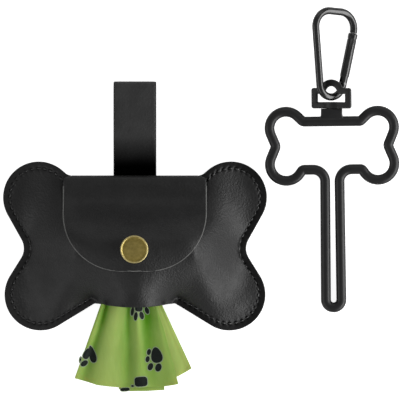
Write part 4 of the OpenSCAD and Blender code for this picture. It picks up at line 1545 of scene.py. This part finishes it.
@dataclass
class WasteBag:
    """The bag that hangs out of the mouth: gathered film that spreads in pleats on the table."""

    mouth_y: float = -29.5
    mouth_z: float = 7.6
    film: float = 0.12
    fall: float = 26.0
    hem_z: float = 0.35
    stack: float = 1.25
    tucked: float = 1.6
    ridge_light: float = 0.17
    hem_light: float = 0.16
    flat: tuple[float, float] = (0.080, 0.047)
    strip_rear: float = 4.0
    strip_l: float = 34.3
    strip_x: float = -2.7
    strip_half: float = 11.2
    strip_z: float = 6.98

    LAYERS = (
        Layer("upper", ((-17.6, -29.5), (11.6, -30.0)),
              ((-32.1, -70.2), (-23.4, -72.7), (-20.2, -73.8), (-14.0, -74.6), (-7.7, -75.1),
               (0.0, -75.2), (8.0, -74.9), (15.9, -74.5), (19.5, -74.0), (23.1, -73.3)), 0.0,
              ((0.02, 0.03, 0.5), (0.10, 0.05, -2.0), (0.29, 0.12, 1.8), (0.50, 0.05, -1.6),
               (0.63, 0.05, 1.2), (0.77, 0.10, -1.8), (0.96, 0.03, 0.3))),
        Layer("middle", ((-8.0, -29.5), (9.0, -29.5)),
              ((-8.6, -76.0), (-5.2, -76.8), (-2.7, -77.15), (6.0, -77.05), (15.7, -76.5)), 0.6,
              ((0.3, 0.1, 0.6), (0.7, 0.1, -0.6))),
        Layer("side", ((3.0, -29.5), (14.2, -30.6)),
              ((10.0, -71.5), (16.0, -71.3), (22.8, -69.2), (26.5, -67.2), (30.1, -65.0)), 0.25,
              ((0.72, 0.14, 0.4), (0.93, 0.05, 0.3)), 0.46, 0.42),
    )

    def layer_grid(self, layer: Layer, rows: int = 70, columns: int = 120) -> tuple[Array, Array]:
        """One layer's film.

        Args:
            layer: which layer.
            rows: how many rows of points lie between the mouth and the hem.
            columns: how many points each row has.

        Returns:
            The points, and each one's painted light and shade, from 0 in hollows to 0.5 on ridges.
        """
        hem = resampled(np.array(layer.hem), columns)
        start, end = np.array(layer.mouth[0]), np.array(layer.mouth[1])
        u = np.linspace(0, 1, columns)
        top = start + (end - start) * u[:, None]
        v = np.linspace(0, 1, rows)[:, None]
        x = top[:, 0] + (hem[:, 0] - top[:, 0]) * v
        y = top[:, 1] + (hem[:, 1] - top[:, 1]) * v
        out = np.clip(self.mouth_y - y, 0, None)
        lie = self.hem_z + self.stack * (1 - layer.under) - 0.3 * layer.under
        z = lie + (self.mouth_z - lie) * (1 - smooth(out / self.fall))
        height = np.zeros_like(z)
        for centre, wide, high in layer.folds:
            wander = centre + 0.012 * np.sin(4 * v + 9 * centre)
            height += high * np.exp(-((u[None] - wander) / (wide * (0.9 + 0.3 * v))) ** 2)
        fade = 1.15 - 0.55 * v
        ripple = 0.04 * np.sin(u[None] * 41 + 2.2 * v) * (1 - v) + 0.12 * np.sin(u[None] * 15 + 5 * v) * v
        curl = 0.45 * smooth((v - 0.93) / 0.07) * (0.5 + 0.5 * np.sin(u[None] * 14 + layer.under))
        z = z + (height * 0.7 * fade + ripple + curl) * (1 - 0.5 * layer.under)
        if layer.under:
            z = z - self.tucked * (1 - smooth((u[None] - layer.covered) / 0.15))
        # No layer sinks into the table.
        z = np.maximum(z, self.film + 0.25 * (1 - layer.under))
        # Painted light and shade for the film's colour: paler on the ridges and towards the hem, darker in
        # the hollows and towards the mouth.
        shade = layer.pale - 0.06 + self.ridge_light * height * (1 - 0.7 * v) + self.hem_light * v
        return np.stack([x, y, z], 2), np.clip(shade, 0, 0.5)

    def make(self, shop: Workshop) -> None:
        """Makes the layers, the film between roll and mouth, and the print on it.

        Args:
            shop: where pieces are made.
        """
        points, faces, shade, area = [], [], [], 0.0
        for layer in self.LAYERS:
            grid, pale = self.layer_grid(layer)
            sheet = shop.sheet("layer_" + layer.name, grid, self.film, [shop.finishes.film], edge=0.05)
            first = len(points)
            points += [tuple(v.co) for v in sheet.data.vertices]
            faces += [tuple(first + i for i in p.vertices) for p in sheet.data.polygons]
            shade += self.nearest(sheet, shop.placed(grid.reshape(-1, 3)), pale.reshape(-1))
            run = np.cross(np.diff(grid, axis=0)[:, :-1], np.diff(grid, axis=1)[:-1])
            area += float(np.linalg.norm(run, axis=2).sum()) * MM * MM
            bpy.data.objects.remove(sheet)
        data = bpy.data.meshes.new("hanging_bag_film")
        data.from_pydata(points, [], faces)
        data.materials.append(shop.finishes.film)
        for polygon in data.polygons:
            polygon.use_smooth = True
        bag = put("hanging_bag_film", data)
        mark(bag, "fold", shade)
        self.make_print(shop, bag)
        shop.hand_over(bag, "bag", ["hanging_bag"])
        LOG.info("hanging film: %.5f m2 of film in three layers", area)
        self.make_strip(shop)

    @staticmethod
    def nearest(sheet: Piece, place: Array, values: Array) -> list[float]:
        """For each point of a sheet, the value that belongs to the nearest of some places."""
        tree = KDTree(len(place))
        for i, p in enumerate(place):
            tree.insert(p.tolist(), i)
        tree.balance()
        return [float(values[tree.find(v.co)[1]]) for v in sheet.data.vertices]

    def make_strip(self, shop: Workshop) -> None:
        """Makes the gathered film between the roll and the mouth.

        Args:
            shop: where pieces are made.
        """
        u, v = np.meshgrid(np.linspace(0, 1, 60), np.linspace(0, 1, 48))
        # The film lies flat under the roll, far enough back to stay in the mouth when the bag is drawn out,
        # and takes the place and the pleats of the bag's upper layer where it meets it.
        y = self.strip_rear - self.strip_l * v
        out = np.clip((self.mouth_y + 25.0 - y) / 25.0, 0, 1)
        meet = smooth((out - 0.3) / 0.7)
        end = self.layer_grid(self.LAYERS[0], columns=60)[0][0]
        x = (1 - meet) * (self.strip_x + (self.strip_half + 3.3 * out) * (2 * u - 1)) + meet * end[:, 0]
        flat_z = self.strip_z + 0.5 * smooth(out) + 0.2 * meet * np.sin(u * 34)
        z = (1 - meet) * flat_z + meet * (end[:, 2] - 0.1)
        strip = shop.sheet("film_strip", np.stack([x, y, z], 2), self.film, [shop.finishes.film], edge=0.05)
        across = (np.array([vertex.co.x for vertex in strip.data.vertices]) - shop.middle[0]) / 0.029
        # Painted light and shade along the pleats: paler and darker stripes across the strip at the pleats'
        # spacing.
        pale = 0.2 + 0.12 * np.sin(34 * across)
        mark(strip, "fold", pale)
        shop.hand_over(strip, "bag", ["bag_strip"])

    # Each printed spot: its middle, half width, half length, turn in degrees, squareness and taper
    SPOTS = (
        (2.1, -33.2, 2.0, 1.5, 0, 0.8, 0), (-1.3, -34.6, 0.85, 2.4, -8, 1, 0),
        (0.5, -37.2, 1.0, 2.3, -8, 1, 0), (3.6, -36.8, 1.15, 2.1, 12, 1, 0), (6.4, -34.2, 1.1, 1.9, 18, 1, 0),
        (-22.7, -57.4, 1.7, 4.6, 14, 0.9, 0.35), (-25.6, -57.2, 1.6, 3.0, -20, 0.9, 0.3),
        (-26.9, -62.3, 1.35, 2.1, -52, 1, 0), (-29.0, -60.3, 0.45, 1.5, -10, 1, 0),
        (11.4, -57.9, 2.9, 4.2, 10, 0.92, 0.3), (7.4, -56.3, 1.05, 1.65, -14, 1, 0),
        (6.7, -60.1, 1.1, 1.65, -10, 1, 0), (8.2, -64.1, 1.4, 2.0, -22, 1, 0),
        (12.4, -64.5, 1.65, 2.2, -18, 1, 0), (3.2, -72.0, 3.4, 2.6, 4, 0.55, 0),
        (-1.3, -74.3, 0.7, 0.5, 0, 0.7, 0), (-5.3, -76.15, 2.4, 0.85, 4, 0.7, 0),
    )

    def make_print(self, shop: Workshop, bag: Piece) -> None:
        """Prints the paws: flat patches of ink on the film, each with a pale line of thin ink round it."""
        tree = BVHTree.FromObject(bag, bpy.context.evaluated_depsgraph_get())
        for name, material, grow, lift in (("paw_print_line", shop.finishes.pale_ink, 0.38, 0.07),
                                           ("paw_print", shop.finishes.ink, 0.0, 0.12)):
            points, faces = [], []
            for spot in self.SPOTS:
                self.patch(shop, tree, points, faces, spot, grow, lift)
            ink = shop.mesh(name, np.array(points), faces, [material], weld=False)
            shop.hand_over(ink, "bag")

    def patch(self, shop: Workshop, tree: BVHTree, points: list, faces: list, spot: tuple[float, ...],
              grow: float, lift: float) -> None:
        """Adds one patch of ink that lies on the film.

        Args:
            shop: where pieces are made.
            tree: the film's surface.
            points: takes the patch's points, in mm.
            faces: takes its faces.
            spot: its middle, half width, half length, turn, squareness and taper.
            grow: how much larger than the spot the patch is.
            lift: how far it lies above the film.
        """
        x, y, wide, long, turn, square, taper = spot
        rings, sides = 10, 32
        first, height = len(points), 1.0
        c, s = math.cos(math.radians(turn)), math.sin(math.radians(turn))
        for ring in range(rings + 1):
            for k in range(sides if ring else 1):
                t = 2 * math.pi * k / sides
                ct, st = math.cos(t), math.sin(t)
                u = (wide + grow) * ring / rings * math.copysign(abs(ct) ** square, ct)
                v = (long + grow) * ring / rings * math.copysign(abs(st) ** square, st)
                u *= 1 - taper * v / (long + grow)
                px, py = x + u * c - v * s, y + u * s + v * c
                hit = tree.ray_cast(Vector(shop.placed(np.array([px, py, 40.0]))), Vector((0, 0, -1)))
                if hit[0] is not None:
                    height = hit[0].z / MM
                points.append((px, py, height + lift))
        faces.extend((first, first + 1 + (k + 1) % sides, first + 1 + k) for k in range(sides))
        faces.extend(grid_faces(rings, sides, False, True, first + 1))


# ---------- Carrier ----------


@dataclass
class Carrier:
    """The bag carrier: a bar bent to a bone with a narrow tail, lying on its tail and on the snap hook."""

    rod_r: float = 2.65
    lobe_x: float = 24.3
    lobe_r: float = 8.68
    tail_l: float = 72.1
    tail_r: float = 4.1
    neck_t: float = 4.4
    neck_w: float = 11.3
    x: float = 105.4
    y: float = -28.5
    turn: float = 0.7
    yoke_w: float = 22.6
    yoke_bar: float = 3.4
    yoke_h: float = 10.9
    yoke_t: float = 2.2
    yoke_turn: float = 24.0
    hook_tip: float = 32.0
    hook_l: float = 30.3
    hook_small_r: float = 7.2
    hook_left_r: float = 8.2
    hook_right_r: float = 9.1
    hook_right_x: float = 5.6
    wire_r: float = 1.95
    gate_r: float = 2.45

    def __post_init__(self) -> None:
        """Works out how the carrier lies."""
        self.bar_y = self.tail_l + 22.6
        self.neck_top = self.bar_y + 6.5
        self.yoke_low = self.neck_top + 0.3
        self.ring_y = self.yoke_low + self.yoke_h - 2.5
        self.hook_y = self.ring_y + self.hook_small_r - 2.3
        wide = self.hook_right_x + self.hook_right_r
        drop = wide * math.sin(math.radians(self.hook_tip)) + self.gate_r - 0.08
        reach = self.hook_y + self.hook_l - 1.6 + self.tail_r
        self.tilt = math.asin((drop - self.rod_r) / reach)
        self.lie = Matrix.Translation((self.x, self.y, self.rod_r + self.tail_r * math.sin(self.tilt))) \
            @ Matrix.Rotation(math.radians(self.turn), 4, "Z") @ Matrix.Rotation(self.tilt, 4, "X")
        self.yoke_lie = self.lie @ Matrix.Rotation(math.radians(-self.yoke_turn), 4, "Y")
        self.hook_lie = self.lie @ Matrix.Translation((0, self.hook_y, 0)) \
            @ Matrix.Rotation(math.radians(self.hook_tip), 4, "Y")

    @staticmethod
    def mover(lie: Matrix) -> Callable[[Array], Array]:
        """A function that moves points by that matrix."""
        m = np.array(lie)
        return lambda points: points @ m[:3, :3].T + m[:3, 3]

    def bar_path(self) -> Array:
        """The bar's centre line."""
        slot, shoulder = self.tail_r - 0.3, 6.4
        low = self.tail_l - 2.9
        right = [Round(slot + shoulder, low - shoulder, shoulder, Turn.IN),
                 Round(14.9, low - 1.6, 1.6, Turn.IN),
                 Round(self.lobe_x, self.tail_l, self.lobe_r),
                 Round(self.lobe_x + 8.3, self.tail_l + 9.6, 2.7, Turn.IN),
                 Round(self.lobe_x, self.tail_l + 19.3, self.lobe_r),
                 Round(14.6, self.bar_y + 1.6, 1.6, Turn.IN)]
        line = outline([Round(0, 0, self.tail_r)] + right + [r.flipped() for r in reversed(right)])
        return resampled(np.concatenate([line, line[:1]]), 721)[:-1]

    def make_frame(self, shop: Workshop) -> None:
        """Makes the bent bar, and the flat neck that runs into it.

        Args:
            shop: where pieces are made.
        """
        nylon = shop.finishes.nylon
        section = round_section(self.rod_r, self.rod_r, 32, 0.94)
        bar = shop.sweep("bent_bar", self.bar_path(), section, True, self.mover(self.lie), nylon)
        shop.hand_over(bar, "carrier", ["carrier_frame"])
        half, edge = self.neck_w / 2, 0.9
        rows = []
        # The neck is widest where it leaves the bar, and its end is rounded.
        for y, grow in ((self.bar_y, 0.9), (self.bar_y + 2.2, 0.5), (self.bar_y + 3.0, 0.12),
                        (self.bar_y + 3.8, 0.0), (self.neck_top, 0.0), (self.neck_top + 0.2, -0.15)):
            w, h = half + grow - edge, self.neck_t / 2 + min(grow, 0) * 0.9 - edge
            corners = ((w, h, 0), (-w, h, 90), (-w, -h, 180), (w, -h, 270))
            rows.append([(x, y, z) for cx, cz, start in corners for x, z in quarter(cx, cz, edge, start, 5)])
        flat = np.array(rows).reshape(-1, 3)
        faces = tube_faces(len(rows), len(rows[0]))
        neck = shop.mesh("carrier_neck", self.mover(self.lie)(flat), faces, [nylon])
        shop.bevel(neck, 0.1, 60)
        shop.hand_over(neck, "carrier")

    def make_yoke(self, shop: Workshop) -> None:
        """Makes the swivel yoke: a flat frame with rounded bars and a round eye on its top.

        Args:
            shop: where pieces are made.
        """
        w, low, high, bar = self.yoke_w / 2, self.yoke_low, self.yoke_low + self.yoke_h, self.yoke_bar
        corner, eye_out, eye_in, round_over = 1.3, 2 * self.yoke_bar + 0.2, self.yoke_bar, 0.75
        window_top = low + self.yoke_h - bar + 0.2

        def eye(radius: float, y: float) -> list[tuple[float, float]]:
            """The arc round the eye, above a straight edge at height y."""
            join = math.asin(max(-1.0, min(1.0, (y - self.ring_y) / radius)))
            return [(radius * math.cos(t), self.ring_y + radius * math.sin(t))
                    for t in np.linspace(join, math.pi - join, 40)]

        inset, bottom, top = w - corner, low + corner, high - corner
        outer = quarter(inset, bottom, corner, -90, 8) + quarter(inset, top, corner, 0, 8)
        outer += eye(eye_out, high)
        outer += quarter(-inset, top, corner, 90, 8) + quarter(-inset, bottom, corner, 180, 8)
        hole = [(w - bar, low + bar), (w - bar, window_top), *eye(eye_in, window_top),
                (-w + bar, window_top), (-w + bar, low + bar)]
        curve = bpy.data.curves.new("yoke_outline", "CURVE")
        curve.dimensions = "2D"
        curve.fill_mode = "BOTH"
        for loop in (outer, hole):
            spline = curve.splines.new("POLY")
            spline.points.add(len(loop) - 1)
            for point, (px, py) in zip(spline.points, loop):
                point.co = (px, py, 0, 1)
            spline.use_cyclic_u = True
        curve.bevel_depth = round_over
        curve.bevel_resolution = 5
        curve.offset = -round_over
        curve.extrude = self.yoke_t / 2 - round_over
        shape = put("yoke_outline", curve)
        graph = bpy.context.evaluated_depsgraph_get()
        data = bpy.data.meshes.new_from_object(shape.evaluated_get(graph))
        bpy.data.objects.remove(shape)
        points = self.mover(self.yoke_lie)(np.array([vertex.co for vertex in data.vertices]))
        faces = [tuple(polygon.vertices) for polygon in data.polygons]
        piece = shop.mesh("swivel_yoke_frame", points, faces, [shop.finishes.nylon])
        self.soften(piece)
        shop.hand_over(piece, "yoke", ["swivel_yoke"])
        boss = [(1.2, 0.0), (2.0, 0.0), (2.2, 0.15), (2.2, bar - 0.15), (2.05, bar), (1.75, bar),
                (1.75, bar - 1.2), (1.2, bar - 1.2), (1.2, 0.0)]

        def along_neck(points: Array) -> Array:
            """Stands the turned boss along the neck, its outside drawn out sideways into the bar."""
            wide = np.where(np.hypot(points[:, 0], points[:, 1]) > 1.9, 2.1, 1.0)
            stood = np.stack([points[:, 0] * wide, low + points[:, 2], -points[:, 1]], 1)
            return self.mover(self.yoke_lie)(stood)

        piece = shop.lathe("yoke_boss", np.array(boss), along_neck, shop.finishes.nylon, 40)
        self.soften(piece)
        shop.hand_over(piece, "yoke")

    @staticmethod
    def soften(piece: Piece, angle: float = 42) -> None:
        """Keeps flat faces flat beside their rounded edges."""
        piece.data.set_sharp_from_angle(angle=math.radians(angle))

    def hook_rounds(self) -> list[Round]:
        """The three bends of the snap hook."""
        return [Round(0, 0, self.hook_small_r),
                Round(self.hook_right_x, self.hook_l - 1.6, self.hook_right_r),
                Round(-1.2, self.hook_l, self.hook_left_r)]

    def gate_line(self) -> tuple[Array, Array, float]:
        """The gate's hinge, its direction and its length."""
        rounds = self.hook_rounds()
        angle = leave_angle(rounds[0], rounds[1])
        outward = np.array([math.cos(angle), math.sin(angle)])
        along = np.array([-math.sin(angle), math.cos(angle)])
        foot = self.hook_small_r * outward + along * 1.5
        head = np.array([rounds[1].x, rounds[1].y]) + self.hook_right_r * outward
        return foot, along, float(np.linalg.norm(head - foot)) - 0.4

    def make_hook(self, shop: Workshop) -> None:
        """Makes the bent wire, and the tang that the gate turns on.

        Args:
            shop: where pieces are made.
        """
        rounds = self.hook_rounds()
        foot, along, _ = self.gate_line()
        ear_r = self.gate_r - 0.15
        lacquer, place = shop.finishes.lacquer, self.mover(self.hook_lie)
        small, right, left = (arc(rounds, k, 0.3) for k in range(3))
        path = np.concatenate([right, left, small[:-1], [foot - along * (ear_r + 0.3)]])
        section = round_section(self.wire_r, self.wire_r, 28)
        piece = shop.sweep("hook_wire", resampled(path, 300), section, False, place, lacquer)
        shop.bevel(piece, 0.3, 60)
        self.soften(piece)
        shop.hand_over(piece, "hook", ["hook_body"])
        side = np.array([along[1], -along[0]])
        shape = [((ear_r - 0.5) * math.cos(t), (ear_r - 0.5) * math.sin(t))
                 for t in np.radians(np.linspace(-20, 200, 25))]
        shape += [(-ear_r + 0.6, -ear_r - 1.2), (ear_r - 0.6, -ear_r - 1.2)]
        half = 0.8
        points = np.array([[*(foot + side * x + along * y), z] for z in (-half, half) for x, y in shape])
        tang = shop.mesh("hook_tang", place(points), tube_faces(2, len(shape)), [lacquer])
        shop.bevel(tang, 0.15)
        self.soften(tang)
        shop.hand_over(tang, "hook")

    def make_gate(self, shop: Workshop) -> None:
        """Makes the gate: a turned tube with a collar at its head and a fork at its foot.

        Args:
            shop: where pieces are made.
        """
        foot, along, length = self.gate_line()
        r, low = self.gate_r, -self.gate_r + 0.4
        foot_part = [(0.01, low - 0.35), (r - 1.3, low - 0.35), (r - 0.6, low), (r - 0.35, low + 0.5),
                     (r - 0.3, 3.6), (r - 0.05, 4.1), (r, 4.6)]
        collar = [(r, length - 3.4), (r - 0.2, length - 3.1), (r - 0.2, length - 2.8),
                  (r + 0.05, length - 2.5), (r + 0.05, length - 0.45), (r - 0.3, length - 0.02)]
        head = [(1.0, length), (0.95, length - 0.5), (0.01, length - 0.55)]
        side = np.array([along[1], -along[0]])
        lie = self.mover(self.hook_lie)

        def stand(points: Array) -> Array:
            """Stands turned points along the gate."""
            flat = foot + points[:, :1] * side + points[:, 2:] * along
            return lie(np.concatenate([flat, points[:, 1:2]], 1))

        lacquer = shop.finishes.lacquer
        gate = shop.lathe("gate_tube", np.array(foot_part + collar + head), stand, lacquer, 48)
        # The fork's slot is cut with a block that reaches past the tube on both sides.
        wide, half, slot_end = 6.0, 0.95, 3.35
        corners = np.array([(x, y, z) for x in (-wide, wide) for y in (-half, half)
                            for z in (-wide, slot_end)])
        sides = [(0, 1, 3, 2), (4, 6, 7, 5), (0, 4, 5, 1), (2, 3, 7, 6), (0, 2, 6, 4), (1, 5, 7, 3)]
        slot = shop.mesh("gate_slot", stand(corners), sides, [lacquer])
        cut = gate.modifiers.new("fork", "BOOLEAN")
        cut.object, cut.solver = slot, "EXACT"
        shop.apply(gate)
        bpy.data.objects.remove(slot)
        self.soften(gate)
        shop.hand_over(gate, "gate", ["hook_gate"])


# ---------- Kept CAD nodes ----------


def dress_kept(frame: dict, finishes: Finishes) -> None:
    """Gives each carried-over CAD node its material.

    Args:
        frame: the loaded frame.
        finishes: the shared materials.
    """
    kept = {
        finishes.brass: ["flap_stud_socket", "flap_stud", "flap_stud_post", "strap_stud_socket", "strap_stud",
                         "strap_stud_post"],
        finishes.nylon: ["swivel_pin"],
        finishes.lacquer: ["gate_pin"],
        finishes.steel: ["gate_spring", "gate_plunger"],
    }
    for material, names in kept.items():
        for name in names:
            node = frame["nodes"][name]
            node.data.materials.clear()
            node.data.materials.append(material)
            LOG.info("%s: kept with %s", name, material.name)


# ---------- Studio ----------


@dataclass(frozen=True)
class Lamp:
    """A flat lamp that faces the middle of the table; sizes in metres, power in watts."""

    name: str
    place: tuple[float, float, float]
    wide: float
    tall: float
    power: float

    def hang(self) -> None:
        """Hangs the lamp at its place."""
        light = bpy.data.lights.new(self.name, "AREA")
        light.shape, light.size, light.size_y, light.energy = "RECTANGLE", self.wide, self.tall, self.power
        holder = put(self.name, light)
        holder.location = self.place
        holder.rotation_euler = (-Vector(self.place)).to_track_quat("-Z", "Y").to_euler()


@dataclass
class Studio:
    """A pale table under soft light, seen straight from above."""

    view_mm: float = 212.4
    centre: tuple[float, float] = (34.5, 24.4)
    distance: float = 3.0
    sky: float = 0.28
    floor_glow: float = 0.85

    LAMPS = (
        Lamp("key", (0.77, -0.2, 0.34), 1.4, 0.4, 9.5),
        Lamp("fill", (-0.75, -0.35, 0.5), 1.3, 0.28, 2.6),
        Lamp("back", (0.1, 0.9, 0.6), 0.8, 0.4, 0.9),
    )

    def make(self, shop: Workshop) -> None:
        """Makes the camera, the floor and the lights."""
        self.make_camera(shop)
        self.make_floor()
        self.make_lights()

    def make_camera(self, shop: Workshop) -> None:
        """Puts a long lens straight above the table."""
        lens = bpy.data.cameras.new("photo_camera")
        lens.sensor_width = 36.0
        lens.lens = lens.sensor_width * self.distance / (self.view_mm * MM)
        lens.clip_end = 20.0
        camera = put("photo_camera", lens)
        x, y, _ = shop.placed(np.array([*self.centre, 0.0]))
        camera.location = (x, y, self.distance)
        bpy.context.scene.camera = camera

    def make_floor(self) -> None:
        """Makes a white sheet that keeps the object's shadow."""
        data = bpy.data.meshes.new("floor")
        far = 3.0
        data.from_pydata([(-far, -far, 0), (far, -far, 0), (far, far, 0), (-far, far, 0)], [], [(0, 1, 2, 3)])
        floor = put("floor", data)
        floor.location.z = -0.0002
        s = Surface("white_table")
        s.shader.inputs["Base Color"].default_value = (0.9, 0.9, 0.9, 1)
        s.set(Roughness=0.9, Specular_IOR_Level=0.1)
        glow = s.add("ShaderNodeEmission", None, {"Color": (1, 1, 1, 1), "Strength": self.floor_glow})
        both = s.add("ShaderNodeAddShader", None, {0: s.shader.outputs[0], 1: glow.outputs[0]})
        path = s.add("ShaderNodeLightPath")
        seen = s.add("ShaderNodeMixShader", None,
                     {0: path.outputs["Is Camera Ray"], 1: s.shader.outputs[0], 2: both.outputs[0]})
        output = s.tree.nodes["Material Output"]
        s.tree.links.new(seen.outputs[0], output.inputs["Surface"])
        data.materials.append(s.material)

    def make_lights(self) -> None:
        """Hangs a large soft lamp to the upper right, a weaker one to the left, and an even sky."""
        world = bpy.data.worlds.new("studio")
        bpy.context.scene.world = world
        world.use_nodes = True
        background = world.node_tree.nodes["Background"].inputs
        background["Color"].default_value = (1, 1, 1, 1)
        background["Strength"].default_value = self.sky
        for lamp in self.LAMPS:
            lamp.hang()
        bpy.context.scene.view_settings.view_transform = "Standard"


def main() -> None:
    """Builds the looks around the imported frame."""
    logging.basicConfig(level=logging.INFO, format="%(name)s: %(message)s")
    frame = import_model()
    shop = Workshop(Finishes())
    Studio().make(shop)
    dress_kept(frame, shop.finishes)
    pouch = Pouch()
    pouch.make_panels(shop)
    pouch.make_flap(shop)
    pouch.make_strap(shop)
    panel_top = pouch.panel_base + pouch.leather + pouch.crown
    PressStud("flap_snap_cap", "flap_stud_cap", "flap", pouch.flap_stud_y, panel_top).make(shop)
    PressStud("strap_snap_cap", "strap_stud_cap", "strap_tail", pouch.strap_stud_y, pouch.lift,
              face=-1.0).make(shop)
    BagRoll().make(shop)
    WasteBag().make(shop)
    carrier = Carrier()
    carrier.make_frame(shop)
    carrier.make_yoke(shop)
    carrier.make_hook(shop)
    carrier.make_gate(shop)


if __name__ == "__main__":
    main()
